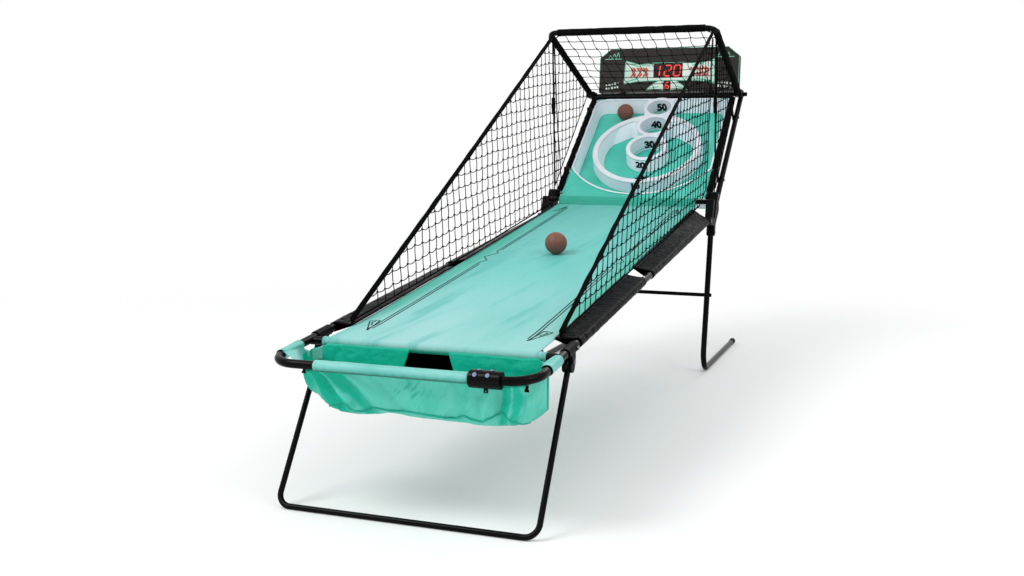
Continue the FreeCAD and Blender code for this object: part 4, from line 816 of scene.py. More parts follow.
def pouchProfile(x):
    floorZ = barZ - fromTable(pouch["stations"], x)
    front, back = pouchFront(x), pouch["back"]
    topZ = pouch["frontZ"] + (14 if x > 0 else 6) * smooth(24, 80, front)
    bend = min(pouch["bend"], (topZ - floorZ) * 0.7, (back - front) * 0.4)
    wall = min(front + 16 * bend / pouch["bend"], back - 4 - 2 * bend)
    bulge = 3 + 3 * ripple(x / 40, 3, 3)
    points = ((front, topZ), (wall - bulge - 3, (topZ + floorZ + bend) / 2 + 4),
              (wall - bulge, floorZ + bend), (wall + bend * 0.22, floorZ + bend * 0.3),
              (wall + bend * 0.95, floorZ + 3), ((wall + back) / 2, floorZ))
    straight = curve(points, pouch["wallPoints"])
    leaning = smooth(-188, -216, x)
    if leaning:  # at the left the wall runs slanting to the floor
        reach = min(1, (back - 10 - front) / pouch["leanReach"])
        lowZ = between(pouch["leanFoot"], 258, smooth(-240, -283, x))
        floorZ = between(floorZ, lowZ, leaning)
        drop = (topZ - lowZ) / (pouch["frontZ"] - pouch["leanFoot"])
        points = [(front + out * reach, topZ - (pouch["frontZ"] - z) * drop) for out, z in pouch["leaning"]]
        slanting = curve(points, pouch["wallPoints"])
        straight = [(between(a, c, leaning), between(b, d, leaning))
                    for (a, b), (c, d) in zip(straight, slanting)]
    last = straight[-1]
    bend = min(bend, (back - last[0]) * 0.6)
    rear = curve((last, (back - 4 - bend * 0.95, floorZ + 5), (back - 4 - bend * 0.26, floorZ + bend * 0.34),
                  (back - 4, floorZ + bend * 1.15)), pouch["rearPoints"])
    return straight, rear[1:]


def pouchColumn(x):
    front, rear = pouchProfile(x)
    end = smooth(pouch["half"], 277, abs(x))
    column = []
    for i, (y, z) in enumerate(front):
        share = i / (pouch["wallPoints"] - 1)
        push = foldPush(x, min(1, share * 1.35)) * end * (1 - smooth(0.62, 0.95, share))
        push += 1.4 * ripple(x / 14, z / 16, 3) * end * bow(share)
        inward = 3.0 * abs(ripple(y / 22, z / 60, 5)) * smooth(266, 276, x) * bow(share)
        rise = 1.6 * ripple(x / 26, 9, 1) * smooth(0.35, 0.9, share) * end
        column.append(Vector((x - inward, y - push, z + rise)))
    for y, z in rear:
        push, rise = 1.4 * ripple(x / 30, z / 24, 8) * end, 1.5 * ripple(x / 26, 9, 1) * end
        column.append(Vector((x, y + push, z + rise)))
    lowest = column[-1]
    topZ = pouch["backZ"] - 10 * smooth(252, 276, abs(x))
    topZ -= 4 * smooth(70, 180, abs(x)) * abs(ripple(x / 60, 1, 1))
    low = pouch["mouthLow"]
    for t in walk(0, 1, 14)[1:]:
        z = between(lowest.z, topZ, t)
        share = min(1, max(0, (z - pouch["mouthZ"]) / (pouch["backZ"] - pouch["mouthZ"])))
        narrow = between(low, pouch["mouthTop"], share) / low
        narrow = between(narrow, 1, smooth(low, low + 70, abs(x)))
        loose = 5.0 * ripple(x / 34, z / 30, 12) * bow(t) * end
        column.append(Vector((x * narrow, between(lowest.y, pouch["back"], t) - abs(loose), z)))
    return column


def pouchSpot(x, y, z):  # the ends of the bag turn in towards its back
    limit = pouch["half"] - max(0, y - 115) * 0.29
    if abs(x) > 200:
        x = math.copysign(200 + (abs(x) - 200) * (limit - 200) / (pouch["half"] - 200), x)
    return spot(x, y, z)


def makePouch():
    places = [x for a, b, count in pouch["steps"] for x in walk(a, b, count)[:-1]] + [pouch["half"]]
    columns = [pouchColumn(x) for x in places]
    mouth = [c for c, x in enumerate(places) if abs(x) <= pouch["mouthLow"] + 0.5]
    bottom = pouch["wallPoints"] + pouch["rearPoints"]
    stock = Stock()
    rows = [[pouchSpot(*p) for p in column] for column in columns]
    stock.grid(rows, keep=lambda r, c: c < bottom or not mouth[0] <= r < mouth[-1])
    for column, way in ((columns[0], -1), (columns[-1], 1)):  # the ends are gathered up to the rails
        rings = []
        for t in (0, 0.25, 0.5, 0.75):
            y, z = pouch["gatherY"], pouch["gatherZ"]
            rings.append([pouchSpot(p.x + way * 1.2 * bow(t), between(p.y, y, t), between(p.z, z, t))
                          for p in column])
        stock.grid(rings if way < 0 else rings[::-1])
    bag = stock.piece("ballPouch", pouchCloth, standsFor=["ball_pouch"], thick=pouch["cloth"])
    seam = Stock()
    line = []
    for x, column in zip(places, columns):
        if pouch["seam"][0][0] <= x <= pouch["seam"][-1][0]:
            wanted = fromTable(pouch["seam"], x)
            i = next(i for i in range(pouch["wallPoints"] - 1) if column[i + 1].z <= wanted)
            p = column[i].lerp(column[i + 1], (column[i].z - wanted) / (column[i].z - column[i + 1].z))
            line.append(pouchSpot(p.x, p.y - 0.5, p.z))
    seam.strand(line, lambda along, turn: 0.0024 + 0.0006 * ripple(along * 160, turn, 3), sides=8)
    stitch = seam.piece("pouchSeam", pouchSeam)


makeBarSleeves()
makePouch()


# two short straps that hang from the front bar, each with a small clip
pouchStrap = {"places": ((-207, 0, 8), (276, 17, 13)), "topZ": 313.4, "width": 0.006, "thick": 0.0016,
              "clipZ": 312.5, "clipWidth": 0.009, "clipThick": 0.003}


def makePouchStraps():
    stock = Stock()
    for x, back, long in pouchStrap["places"]:
        fall = []
        for i in range(9):
            y, z = back - 3 + 0.5 * math.sin(i * 0.9), pouchStrap["topZ"] - long * i / 8
            fall.append(spot(x + 0.5 * math.sin(i), y, z))
        clip = [spot(x, back - 4, pouchStrap["clipZ"] - long * k) for k in (0.5, 0.7, 0.9)]
        for line, width, thick in ((fall, "width", "thick"), (clip, "clipWidth", "clipThick")):
            stock.band(line, lambda t: Vector((1, 0, 0)), pouchStrap[width], pouchStrap[thick])
    stock.piece("pouchStraps", webBlack, standsFor=["pouch_straps"])


makePouchStraps()
print("pouch made")


# dark cloth: the return chute under the lane and the catch cloth behind the target
chute = {"half": 70, "depth": 76, "corner": 14, "start": 163.6, "end": 1772, "below": 2.2, "mouthEnd": 189,
         "mouthZ": 326.2, "cloth": 0.0013, "steps": 70,
         "rise": (((1772, 560.1), (1772, 486.3)), ((1895.2, 550.1), (1880, 501.5)),
                  ((1929.1, 576.7), (1977.4, 515)))}


def chuteSection(top, low, place):
    half, corner, depth = chute["half"], chute["corner"], chute["depth"]
    path = [(-half, 0), (-half, 0.5), (-half, 1 - corner / depth), (-half + 4, 1 - 4 / depth),
            (-half + corner, 1), (-half / 2, 1), (0, 1)]
    path += [(-x, t) for x, t in path[-2::-1]]
    out = []
    for x, t in curve(path, 40):
        y, z = between(top[0], low[0], t), between(top[1], low[1], t)
        loose = smooth(0.02, 0.3, t)
        push = (1.8 * ripple(place / 60, t * 3, x / 80) - 0.8) * loose * smooth(0.5, 1, abs(x) / half)
        x += push * (-1 if x < 0 else 1)
        z += 1.6 * loose * ripple(x / 26, place / 70, 5)
        out.append(spot(x, y, z))
    return out[::-1]


def makeChute():
    stock = Stock()
    rows = []
    for y in walk(chute["start"], chute["end"], chute["steps"]):
        topZ = chute["mouthZ"] if y < chute["mouthEnd"] else laneZ(y) - chute["below"]
        rows.append(chuteSection((y, topZ), (y, laneZ(y) - chute["depth"]), y))
    for (ta, la), (tb, lb) in zip(chute["rise"], chute["rise"][1:]):
        for t in walk(0, 1, 8)[1:]:
            top = (between(ta[0], tb[0], t), between(ta[1], tb[1], t))
            low = (between(la[0], lb[0], t), between(la[1], lb[1], t))
            rows.append(chuteSection(top, low, low[0]))
    stock.grid(rows)
    sheet = stock.piece("returnChute", darkCloth, standsFor=["return_chute"], thick=chute["cloth"])


# along the board, in its own millimetres: it widens from the chute, runs to near the top and closes round
hood = {"low": 46, "wide": 150, "bend": 584, "bendRadius": 15, "half": 257, "near": -51.2, "deep": -129,
        "cloth": 0.0013}


def makeHood():
    stock = Stock()
    rows = []
    low, wide, bend, radius, near = (hood[name] for name in ("low", "wide", "bend", "bendRadius", "near"))
    stations = [low + 8 * i for i in range(14)] + walk(wide, bend, 40)[1:]
    stations += [bend + radius * math.sin(math.radians(a)) for a in range(15, 91, 15)]
    for s in stations:
        half = between(chute["half"], hood["half"], min(1, (s - low) / (wide - low)))
        deep = hood["deep"]
        if s > bend:
            deep = between(near, deep, math.sqrt(max(0, 1 - ((s - bend) / radius) ** 2)))
        path = [(-half, near), (-half, between(near, deep, 0.5)), (-half + 3, between(near, deep, 0.88)),
                (-half + 16, deep), (-half * 0.6, deep), (0, deep)]
        path += [(-x, h) for x, h in path[-2::-1]]
        row = []
        for x, h in curve(path, 60):
            inner = smooth(0.25, 0.9, (near - h) / 78) * smooth(low, 110, s) * smooth(600, 560, s)
            fold = 3.4 * ripple(x / 60 + s / 240, s / 150, 4) + 1.6 * ripple(x / 22, s / 60, 9) - 1.6
            row.append(board(x, s, h - fold * inner * 0.8 + 2.6 * inner))
        rows.append(row)
    stock.grid(rows)
    sheet = stock.piece("catchCloth", darkCloth, standsFor=["catch_cloth"], thick=hood["cloth"])


makeChute()
makeHood()
print("dark cloths made")


# target: rolled rims (place up the board, radius, half width, height), numbers and dashes
rims = {"ring": (283, 193, 10.2, 3.0), "ringEnds": (13.2, 346.8),
        "cups": ((534, 53.5, 7.4, 3.0), (420, 58, 7.8, 3.25), (286, 70, 7.8, 3.0)),
        "section": ((-1.0, -0.9), (-1.02, 0.15), (-0.86, 0.7), (-0.45, 0.96), (0, 1.0),
                    (0.45, 0.96), (0.86, 0.7), (1.02, 0.15), (1.0, -0.9))}


def rimRows(rim, degrees, closed):
    s, radius, half, crown = rim
    line = [(radius * math.sin(turn), s + radius * math.cos(turn)) for turn in map(math.radians, degrees)]
    rows = []
    last = len(line) - 1
    for i, (x, y) in enumerate(line):
        before = line[i - 1] if closed or i else line[i]
        after = line[(i + 1) % len(line)] if closed or i < last else line[i]
        nx, ny = sideways(after, before, half)
        rows.append([board(x + nx * u, y + ny * u, crown * h) for u, h in rims["section"]])
    return rows + rows[:1] if closed else rows


def makeRims():
    stock = Stock()
    stock.grid(rimRows(rims["ring"], walk(*rims["ringEnds"], 120), False))
    for rim in rims["cups"]:
        stock.grid(rimRows(rim, range(0, 360, 5), True))
    stock.piece("targetRims", rimPale)


# cups: text, place up the board, radius, turn, height and letter height; walls: the same with the foot's
# place and radius and the wall's depth
numbers = {"cups": (("50", 534, 47, -1, -30, 28), ("40", 420, 51, -2, -32, 28), ("30", 286, 63, -5, -33, 28)),
           "walls": (("20", 286, 77, 270, 80, 60, -7.7, -19, 26),
                     ("10", 283, 202, 283, 208, 48, -1.4, -15.5, 26)),
           "dashes": ((11, 99, 3.25, 34, 5.0), (16, 20.5, 0.35, 26, 4.0)), "ink": 0.0002,
           "capital": 0.72, "bold": 0.085, "strips": 14, "stripWide": 2.5}


def letterMesh(text, tall):  # cut into narrow strips, so that it can follow a round wall
    letters = bpy.data.curves.new("letters", "FONT")
    letters.body = text
    letters.size = tall / numbers["capital"]
    letters.offset = tall * numbers["bold"]
    letters.resolution_u = 6
    letters.align_x = "CENTER"
    holder = bpy.data.objects.new("letters", letters)
    bpy.context.scene.collection.objects.link(holder)
    bpy.context.view_layer.update()
    graph = bpy.context.evaluated_depsgraph_get()
    flat = bpy.data.meshes.new_from_object(holder.evaluated_get(graph))
    bpy.data.objects.remove(holder)
    work = bmesh.new()
    work.from_mesh(flat)
    bmesh.ops.triangulate(work, faces=work.faces)
    for i in range(-numbers["strips"], numbers["strips"] + 1):
        parts = list(work.verts) + list(work.edges) + list(work.faces)
        cut = (i * numbers["stripWide"], 0, 0)
        bmesh.ops.bisect_plane(work, geom=parts, plane_co=cut, plane_no=(1, 0, 0))
    points = [(v.co.x, v.co.y - tall / 2) for v in work.verts]
    faces = [tuple(v.index for v in f.verts) for f in work.faces]
    work.free()
    return points, faces


def makeNumbers():
    stock = Stock()

    def letter(text, tall, place):
        points, faces = letterMesh(text, tall)
        first = len(stock.points)
        stock.points.extend([place(u, v) for u, v in points])
        stock.faces.extend([tuple(first + i for i in corners) for corners in faces])

    for text, s, radius, turn, h, tall in numbers["cups"]:
        def onCup(u, v):
            deep = h + v
            reach = radius + 6 * deep / 57.5 - 0.45
            angle = math.radians(turn) + u / reach
            return board(reach * math.sin(angle), s + reach * math.cos(angle), deep)

        letter(text, tall, onCup)
    for text, s, radius, lowS, lowRadius, depth, turn, h, tall in numbers["walls"]:
        def onWall(u, v):
            deep = h + v * 0.8
            share = -deep / depth
            reach = between(radius, lowRadius, share) + 0.5
            angle = math.radians(turn) + u / reach
            return board(reach * math.sin(angle), between(s, lowS, share) - reach * math.cos(angle), deep)

        letter(text, tall, onWall)
    for x, s, h, long, wide in numbers["dashes"]:
        corners = ((-1, -1), (1, -1), (1, 1), (-1, 1))
        outline = [board(x + a * long / 2, s + b * wide / 2, h) for a, b in corners]
        stock.plate(outline, boardUp, numbers["ink"])
    stock.piece("targetNumbers", numberInk)


makeRims()
makeNumbers()


# cloth sleeves that lace the target and the nets to the frame
wrap = {"target": ((34, 136), (164, 506), (534, 588)), "x": 274, "lift": 0.6, "reach": 0.0104,
        "lump": 0.0021, "armFrom": (1846, 1156.6), "armTo": (2322, 980.3), "armReach": 0.0118,
        "bar": (1818, 1167), "barHalf": 262, "barReach": 0.0123}


def makeWraps():
    stock = Stock()
    for side in sides:
        for start, end in wrap["target"]:
            def laceReach(along, turn):
                s = between(start, end, along)
                lump = ripple(s / 21, turn * 0.9, side * 4) + 0.5 * ripple(s / 8, turn * 1.6, side)
                return wrap["reach"] + wrap["lump"] * lump * smooth(0, 0.04, along) * smooth(1, 0.96, along)

            ss = walk(start, end, max(8, int((end - start) / 6)))
            stock.strand([board(side * wrap["x"], s, wrap["lift"]) for s in ss], laceReach, sides=22)

        def armReach(along, turn):
            lump = 0.0012 * ripple(along * 16, turn * 0.9, side * 7)
            return wrap["armReach"] + lump + 0.0006 * ripple(along * 60, turn * 2, side)

        ends = [spot(side * railX, *wrap[name]) for name in ("armFrom", "armTo")]
        stock.strand(walk(*ends, 70), armReach, sides=24)
    stock.piece("frameWraps", wrapCloth)

    def barPad(along, turn):
        lump = 0.0009 * ripple(along * 14, turn, 2)
        return wrap["barReach"] + lump + 0.0004 * ripple(along * 70, turn * 2, 5)

    pad = Stock()
    pad.strand([spot(x, *wrap["bar"]) for x in walk(-wrap["barHalf"], wrap["barHalf"], 80)], barPad, sides=26)
    pad.piece("netBarSleeve", wrapCloth, standsFor=["net_bar_sleeve"])


makeWraps()
print("target trim made")


# nets: knotted cord with a little slack in each square
net = {"cell": 44, "high": 35, "long": 61, "cord": 0.0013, "border": 0.002, "knot": 0.003, "drop": 4.2,
       "sway": 3.6, "stray": 5.44, "reach": 64, "margin": 60, "shortest": 3, "borderStep": 15,
       "along": (0, 0.17, 0.34, 0.5, 0.66, 0.83, 1), "overLane": ((286, 8), (1100, 6.5), (1774, 6)),
       "sideBack": ((1875.4, 622.2), (1841.4, 1130.5)), "sideSlack": 3.2, "sideOut": 0.9,
       "rear": ((1892.6, 624.2), (2300, 976.5), (1859, 1140)), "rearX": 293.9, "rearSlack": 1.2,
       "rail": (0, 2335.7, 960.8), "overRail": 8.6, "bar": (0, 1818, 1167), "beforeBar": 12.4, "topSag": 9}


def inside(outline, u, v):
    for (ax, ay), (bx, by) in zip(outline, outline[1:] + outline[:1]):
        if (bx - ax) * (v - ay) - (by - ay) * (u - ax) < 0:
            return False
    return True


def cutAt(outline, a, b):  # where the way from a, inside, to b, outside, crosses the outline
    low, high = 0, 1
    for _ in range(14):
        middle = (low + high) / 2
        if inside(outline, between(a[0], b[0], middle), between(a[1], b[1], middle)):
            low = middle
        else:
            high = middle
    return between(a[0], b[0], low), between(a[1], b[1], low)


def makeNet(name, outline, place, row, column, origin, seed, stock, hang):
    spots = {}
    lowU, lowV = (min(p[n] for p in outline) - net["margin"] for n in (0, 1))
    highU, highV = (max(p[n] for p in outline) + net["margin"] for n in (0, 1))
    for i in range(-net["reach"], net["reach"]):
        for j in range(-net["reach"], net["reach"]):
            u = origin[0] + i * row[0] + j * column[0]
            v = origin[1] + i * row[1] + j * column[1]
            if lowU < u < highU and lowV < v < highV:
                u += net["stray"] * ripple(i * 0.63, j * 0.71, seed)
                v += net["stray"] * ripple(i * 0.57 + 5, j * 0.83, seed + 3)
                spots[i, j] = (u, v, inside(outline, u, v))
    for (i, j), (u, v, within) in spots.items():
        if within:
            stock.knot(place(u, v), net["knot"])
        for step, key in enumerate(((i + 1, j), (i, j + 1))):
            if key not in spots or not (within or spots[key][2]):
                continue
            a, b = (u, v), spots[key][:2]
            if not spots[key][2]:
                b = cutAt(outline, a, b)
            elif not within:
                a = cutAt(outline, b, a)
            length = math.dist(a, b)
            if length < net["shortest"]:
                continue
            line = []
            for t in net["along"]:
                uu, vv = between(a[0], b[0], t), between(a[1], b[1], t)
                belly = bow(t) * length / net["cell"]
                if step == 0:
                    vv -= hang * net["drop"] * belly * (1 + 0.5 * ripple(i * 1.3, j * 1.7, seed))
                else:
                    way = 1 if (i + j) % 2 else -1
                    uu += net["sway"] * belly * way * (0.6 + ripple(i * 1.9, j * 1.1, seed + 7))
                line.append(place(uu, vv))
            stock.strand(line, net["cord"], sides=5, capped=False)
    for a, b in zip(outline, outline[1:] + outline[:1]):
        count = max(4, int(math.dist(a, b) / net["borderStep"]))
        line = []
        for t in walk(0, 1, count):
            stray = ripple(t * count / 3, 1, seed) * bow(t)
            line.append(place(between(a[0], b[0], t) + stray, between(a[1], b[1], t) + stray))
        stock.strand(line, net["border"], sides=6)
    print(name, "drawn with", len(stock.faces), "faces")


# the edge strap's own line on a side net, in the frame's y and z
strap = {"low": (284, railZ(272) + 16.4), "top": (1823, 1150.6), "sag": 2.0, "width": 0.0165, "thick": 0.0042,
         "cordFoot": (1884, 608.2), "cordHead": (1850, 1144.3), "cordX": 293, "cord": 0.00195}


def strapSpot(share, drop):
    (y, z), (topY, topZ) = strap["low"], strap["top"]
    nearY, nearZ = sideways(strap["top"], strap["low"], drop)
    return between(y, topY, share) + nearY, between(z, topZ, share) + nearZ


def makeNets():
    cell = (net["cell"], net["cell"] * railSlope)
    wall = [(y, laneZ(y) + lift) for y, lift in net["overLane"]] + [*net["sideBack"], strapSpot(0.99, 6.5)]
    back = Stock()
    for side, sideName in sides.items():
        def wallPlace(y, z):
            slack = net["sideSlack"] * ripple(y / 210, z / 190, side * 3) * smooth(0, 90, z - laneZ(y) - 14)
            return spot(side * (netX(z) + net["sideOut"] + slack), y, z)

        def rearPlace(y, z):
            slack = net["rearSlack"] * ripple(y / 80, z / 80, side * 6)
            return spot(side * (net["rearX"] + slack), y, z)

        stock = Stock()
        makeNet("side net", wall, wallPlace, cell, (0, net["high"]), wall[0], side * 11, stock, 1)
        stock.piece("sideNet" + sideName.capitalize(), cordBlack, standsFor=["side_net_" + sideName])
        start = strap["cordFoot"]
        makeNet("rear net", net["rear"], rearPlace, cell, (0, net["high"]), start, side * 5, back, 1)
    back.piece("rearNets", cordBlack, standsFor=["rear_nets"])

    # the top net lies over the arms, from the back of the frame to its front bar
    rail, bar = Vector(net["rail"]), Vector(net["bar"])
    slopeWay = (bar - rail).normalized()
    normal = Vector((0, slopeWay.z, -slopeWay.y))
    low, high = rail + normal * net["overRail"], bar - slopeWay * net["beforeBar"]
    length = (high - low).length

    def topPlace(x, t):
        sag = net["topSag"] * bow(min(1, max(0, t / length))) * math.cos(math.pi * x / (2 * railX))
        p = low + (high - low) * (t / length) - normal * sag
        return spot(x, p.y, p.z)

    outline = [(-281, 0), (281, 0), (285, 60), (285, length - 30), (255, length), (-255, length),
               (-285, length - 30), (-285, 60)]
    stock = Stock()
    makeNet("top net", outline, topPlace, (net["cell"], 0), (0, net["long"]), (-285, 0), 4, stock, 0.6)
    stock.piece("topNet", cordBlack, standsFor=["top_net"])


def makeStraps():
    stock = Stock()
    (lowY, lowZ), (topY, topZ) = strap["low"], strap["top"]
    flat = Vector((0, lowZ - topZ, topY - lowY)).normalized()
    for side in sides:
        line = []
        for share in walk(0, 1, 89):
            y, z = strapSpot(share, 0)
            z -= strap["sag"] * bow(share)
            line.append(spot(side * (netX(z) + net["sideOut"]), y, z))

        def across(share):
            return (flat + Vector((0.25 * side * ripple(share * 30, side, 2), 0, 0))).normalized()

        stock.band(line, across, strap["width"], strap["thick"])
        ends = [spot(side * strap["cordX"], *strap[name]) for name in ("cordFoot", "cordHead")]
        stock.strand(walk(*ends, 40), strap["cord"], sides=10)
    stock.piece("netStraps", webBlack, standsFor=["net_straps"])


makeNets()
makeStraps()
print("nets and straps made")


# score unit: plaque, digits and edge line, all of plain shapes, in millimetres on its leaning face
lean = math.radians(7)
scoreOut = Vector((0, -math.cos(lean), math.sin(lean)))


def face(x, z, d):
    y = 2412 + z * math.sin(lean) + d * math.cos(lean)
    return spot(x, y, 983.999 + z * math.cos(lean) - d * math.sin(lean))


# strips: x and z of both ends, and the width; chevrons: their places along the plaque; digits: place, height,
# width and bar
score = {"outline": ((-174, 125), (-120, 111), (-55.7, 115), (63, 115), (126, 111), (184, 126), (187, 31),
                     (130, 43), (63, 45), (-53, 45), (-124, 43), (-178, 33)),
         "small": ((-86, 7.2), (-58, 33), (-30, 45), (30, 45), (50, 33), (85, 7.2), (50, 10), (-52, 10)),
         "plates": (((-174, 125), (-120, 111), (-58.5, 115), (-58.5, 45), (-124, 43), (-178, 33)),
                    ((59.5, 115), (126, 111), (184, 126), (187, 31), (130, 43), (59.5, 45)),
                    ((-58.5, 115), (59.5, 115), (59.5, 112.5), (-58.5, 112.5)),
                    ((-58.5, 55.5), (59.5, 55.5), (59.5, 45), (-58.5, 45)),
                    ((-86, 7.2), (-58, 33), (-30, 43), (-16.5, 43), (-16.5, 6), (-52, 10)),
                    ((13.5, 6), (13.5, 43), (30, 43), (52, 33), (85, 7.2), (50, 10))),
         "strips": ((-166, 116, -118, 102, 5), (-168, 42, -122, 54, 6), (96, 104, 140, 112, 5),
                    (112, 52, 176, 40, 6), (-110, 108, -70, 104, 4), (70, 54, 104, 48, 5),
                    (-72, 14, -34, 20, 4), (34, 22, 74, 12, 4)),
         "chevrons": (-142, -117, -92, 100, 125, 150), "chevronWidth": 6.5,
         "chevron": (((-9, 97), (7, 78)), ((7, 80), (-9, 60)), ((1, 97), (12, 84)), ((12, 73), (1, 61))),
         "plate": 0.0005, "paint": 0.0003, "onCase": -0.1, "onPlate": -0.65, "outlineWidth": 3.2,
         "lineWidth": 2.6, "mark": (261, 193, 134.8), "peaks": (238, 222, 207), "peakFoot": 139.5,
         "peakTop": 152, "peakHalf": 7, "ticks": 5, "tickStart": (250, 14), "tickStep": (-11.5, 1.7),
         "tickHalf": 3.4,
         "digits": (("1", -44.5, 84, 42, 23, 5.2), ("2", -0.5, 84, 42, 25, 5.2), ("0", 37, 84, 42, 25, 5.2),
                    ("6", -1.5, 24.5, 24, 14, 4.6)), "digit": 0.0002, "digitOut": 0.1,
         "edge": ((281, 1), (281, 138.6), (237.4, 174), (-237.4, 174), (-281, 138.6), (-281, 1)),
         "edgeLine": 0.0008}
segments = {"0": "abcdef", "1": "bc", "2": "abged", "6": "afgedc"}
segmentEnds = {"a": (-1, 1, 1, 1), "b": (1, 1, 1, 0), "c": (1, 0, 1, -1), "d": (-1, -1, 1, -1),
               "e": (-1, 0, -1, -1), "f": (-1, 1, -1, 0), "g": (-1, 0, 1, 0)}


def facePlate(stock, outline, d, thick):
    stock.plate([face(x, z, d) for x, z in outline], scoreOut, thick)


def strip(stock, a, b, width, d):
    nx, nz = sideways(a, b, width / 2)
    outline = ((a[0] - nx, a[1] - nz), (b[0] - nx, b[1] - nz), (b[0] + nx, b[1] + nz), (a[0] + nx, a[1] + nz))
    facePlate(stock, outline, d, score["paint"])


def makePlaque():
    plaque, mint, white, red = Stock(), Stock(), Stock(), Stock()
    onCase, onPlate = score["onCase"], score["onPlate"]
    for outline in score["plates"]:
        facePlate(plaque, outline, onCase, score["plate"])
    line = score["lineWidth"]
    for name, width in (("outline", score["outlineWidth"]), ("small", line)):
        for a, b in zip(score[name], score[name][1:] + score[name][:1]):
            strip(mint, a, b, width, onPlate)
    for ax, az, bx, bz, width in score["strips"]:
        strip(mint, (ax, az), (bx, bz), width, onPlate)
    for side in sides:
        outer, inner, z = score["mark"]
        strip(mint, (side * outer, z), (side * inner, z), line, onCase)
        for x in score["peaks"]:
            tip = (side * x, score["peakTop"] + (score["peaks"][0] - x) * 0.3)
            outer, inner = ((side * (x + way * score["peakHalf"]), score["peakFoot"]) for way in (1, -1))
            strip(mint, outer, tip, line, onCase)
            strip(mint, tip, inner, line, onCase)
        for k in range(score["ticks"]):
            x, z = (start + k * step for start, step in zip(score["tickStart"], score["tickStep"]))
            left, right = side * x - score["tickHalf"], side * x + score["tickHalf"]
            strip(white, (left, z), (right, z + 1), 9 - 3 * (k % 2), onCase)
            strip(white, (left, z + 15), (right, z + 16), 6 + 3 * (k % 2), onCase)
    for middle in score["chevrons"]:
        for a, b in score["chevron"]:
            strip(red, (middle + a[0], a[1]), (middle + b[0], b[1]), score["chevronWidth"], onPlate)
    plaque.piece("scorePlaque", artWhite, sharp=30)
    mint.piece("scoreMint", artMint, sharp=30)
    white.piece("scoreTicks", artWhite, sharp=30)
    red.piece("scoreChevrons", artRed, sharp=30)


def makeDigit(stock, text, x, z, tall, wide, bar):
    for name in segments[text]:
        ax, az, bx, bz = (end * size / 2 for end, size in zip(segmentEnds[name], (wide, tall, wide, tall)))
        length = math.hypot(bx - ax, bz - az)
        ux, uz = (bx - ax) / length, (bz - az) / length
        gap, thick = bar * 0.2, bar / 2
        ends = (gap, gap + thick, length - gap - thick, length - gap, length - gap - thick, gap + thick)
        shape = []
        for t, n in zip(ends, (0, thick, thick, 0, -thick, -thick)):
            px, pz = ax + ux * t - uz * n, az + uz * t + ux * n
            shape.append((x + px + pz * 0.1, z + pz))
        facePlate(stock, shape[::-1], score["digitOut"], score["digit"])


def makeDigits():
    lit, edge = Stock(), Stock()
    for digit in score["digits"]:
        makeDigit(lit, *digit)
    lit.piece("scoreDigits", lampRed, sharp=30)
    for (ax, az), (bx, bz) in zip(score["edge"], score["edge"][1:]):
        line = [face(between(ax, bx, t), between(az, bz, t), 0.2) for t in walk(0, 1, 6)]
        edge.strand(line, score["edgeLine"], sides=6)
    edge.piece("scoreEdge", artMint)


makePlaque()
makeDigits()
print("score unit made")


# control box trim: a bezel round each key; keys: place along the bar, angle round it, radius
control = {"keys": ((182, 90, 4.2), (209, 90, 4.2), (178, 142, 4.6), (205, 142, 4.6)), "radius": 18,
           "section": ((0.5, -0.4), (0.5, 0.6), (1.0, 0.95), (1.7, 0.7), (2.1, -0.4)), "around": 28}


def makeControlTrim():
    stock = Stock()
    for x, angle, radius in control["keys"]:
        turn = math.radians(angle)
        out, side = Vector((0, math.cos(turn), math.sin(turn))), Vector((1, 0, 0))
        over = out.cross(side)
        rows = []
        for u, h in control["section"]:
            row = []
            for k in range(control["around"]):
                a = 2 * math.pi * k / control["around"]
                flat = (side * math.cos(a) + over * math.sin(a)) * (radius + u)
                p = out * (math.sqrt(max(0, control["radius"] ** 2 - flat.dot(over) ** 2)) + h) + flat
                row.append(spot(x + p.x, p.y, barZ + p.z))
            rows.append(row)
        stock.grid(rows, loop=True)
    stock.piece("controlBezels", caseBlack, sharp=40)


makeControlTrim()
print("control box trim made")


# a floor of white paper that fades into the background, three soft lamps and the photograph's camera
studio = {"floorHalf": 40, "fadeFrom": 1.6, "fadeTo": 3.4, "ambient": 0.62, "lookAt": (0, 0, 0.5),
          "lamps": ((-2.6, -3.2, 4.4, 2.8, 160), (3.4, -1.6, 3.4, 2.6, 58), (0.5, 4.2, 3.6, 2.6, 56))}
plainWhite = (1, 1, 1, 1)

paper = Finish("studioFloor", "tube_steel", Roughness=0.95)
paper.paint("Base Color", paper.mix(paper.noise(0.6, 2).ramp(0.3, 0.7), ink("#fbfbfb"), ink("#f7f8f8")))
away = paper.add("ShaderNodeVectorMath", {"operation": "LENGTH"}, (paper.place,), out="Value")
seen = paper.add("ShaderNodeLightPath", out="Is Camera Ray")
fade = away.ramp(studio["fadeFrom"], studio["fadeTo"], 0.15, 1.0) * seen
glow = paper.add("ShaderNodeEmission", {}, {"Color": plainWhite, "Strength": 1.0})
paper.show(paper.add("ShaderNodeMixShader", {}, (fade, paper.shader, glow)))

half = studio["floorHalf"]
floorMesh = bpy.data.meshes.new("studioFloor")
corners = [(-half, -half, 0), (half, -half, 0), (half, half, 0), (-half, half, 0)]
floorMesh.from_pydata(corners, [], [(0, 1, 2, 3)])
floorMesh.materials.append(paper.material)
studioFloor = bpy.data.objects.new("studioFloor", floorMesh)
bpy.context.scene.collection.objects.link(studioFloor)

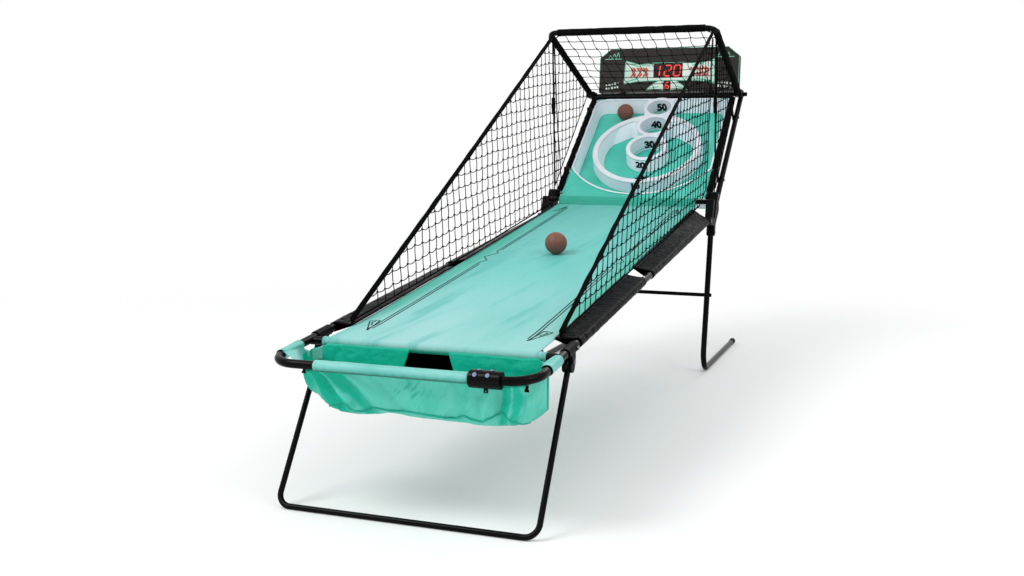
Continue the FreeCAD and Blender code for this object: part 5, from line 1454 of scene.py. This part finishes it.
world = bpy.data.worlds.new("studio")
bpy.context.scene.world = world
world.use_nodes = True
sky = Tree(world.node_tree)
camera, glossy, passing = (sky.add("ShaderNodeLightPath", out="Is %s Ray" % kind)
                           for kind in ("Camera", "Glossy", "Transmission"))
plain = camera.either(glossy).either(passing)
soft = sky.add("ShaderNodeBackground", {}, {"Color": plainWhite, "Strength": studio["ambient"]})
bright = sky.add("ShaderNodeBackground", {}, {"Color": plainWhite, "Strength": 1.0})
sky.add("ShaderNodeOutputWorld", {}, (sky.add("ShaderNodeMixShader", {}, (plain, soft, bright)),))

for index, (x, y, z, size, power) in enumerate(studio["lamps"]):
    lamp = bpy.data.lights.new("softLamp%d" % index, "AREA")
    lamp.shape = "DISK"
    lamp.size = size
    lamp.energy = power
    holder = bpy.data.objects.new("softLamp%d" % index, lamp)
    holder.location = (x, y, z)
    toward = Vector(studio["lookAt"]) - holder.location
    holder.rotation_euler = toward.to_track_quat("-Z", "Y").to_euler()
    bpy.context.scene.collection.objects.link(holder)

view = {"place": (0.9815, -3.1695, 0.7773), "yaw": 20.05, "down": 6.127, "roll": 0.176, "sensor": 36,
        "lens": 38.67, "shift": (-0.0107, -0.0259), "far": 200}
eye = bpy.data.objects.new("photoCamera", bpy.data.cameras.new("photoCamera"))
eye.data.sensor_width = view["sensor"]
eye.data.lens = view["lens"]
eye.data.shift_x, eye.data.shift_y = view["shift"]
eye.data.clip_end = view["far"]
yaw, down, roll = (math.radians(view[name]) for name in ("yaw", "down", "roll"))
ahead = Vector((-math.sin(yaw) * math.cos(down), math.cos(yaw) * math.cos(down), -math.sin(down)))
right = Vector((math.cos(yaw), math.sin(yaw), 0))
over = right.cross(ahead)
right, over = right * math.cos(roll) + over * math.sin(roll), over * math.cos(roll) - right * math.sin(roll)
turn = Matrix((right, over, -ahead)).transposed()
eye.matrix_world = Matrix.Translation(view["place"]) @ turn.to_4x4()
bpy.context.scene.collection.objects.link(eye)
bpy.context.scene.camera = eye
bpy.context.scene.view_settings.view_transform = "Standard"
print("studio ready")
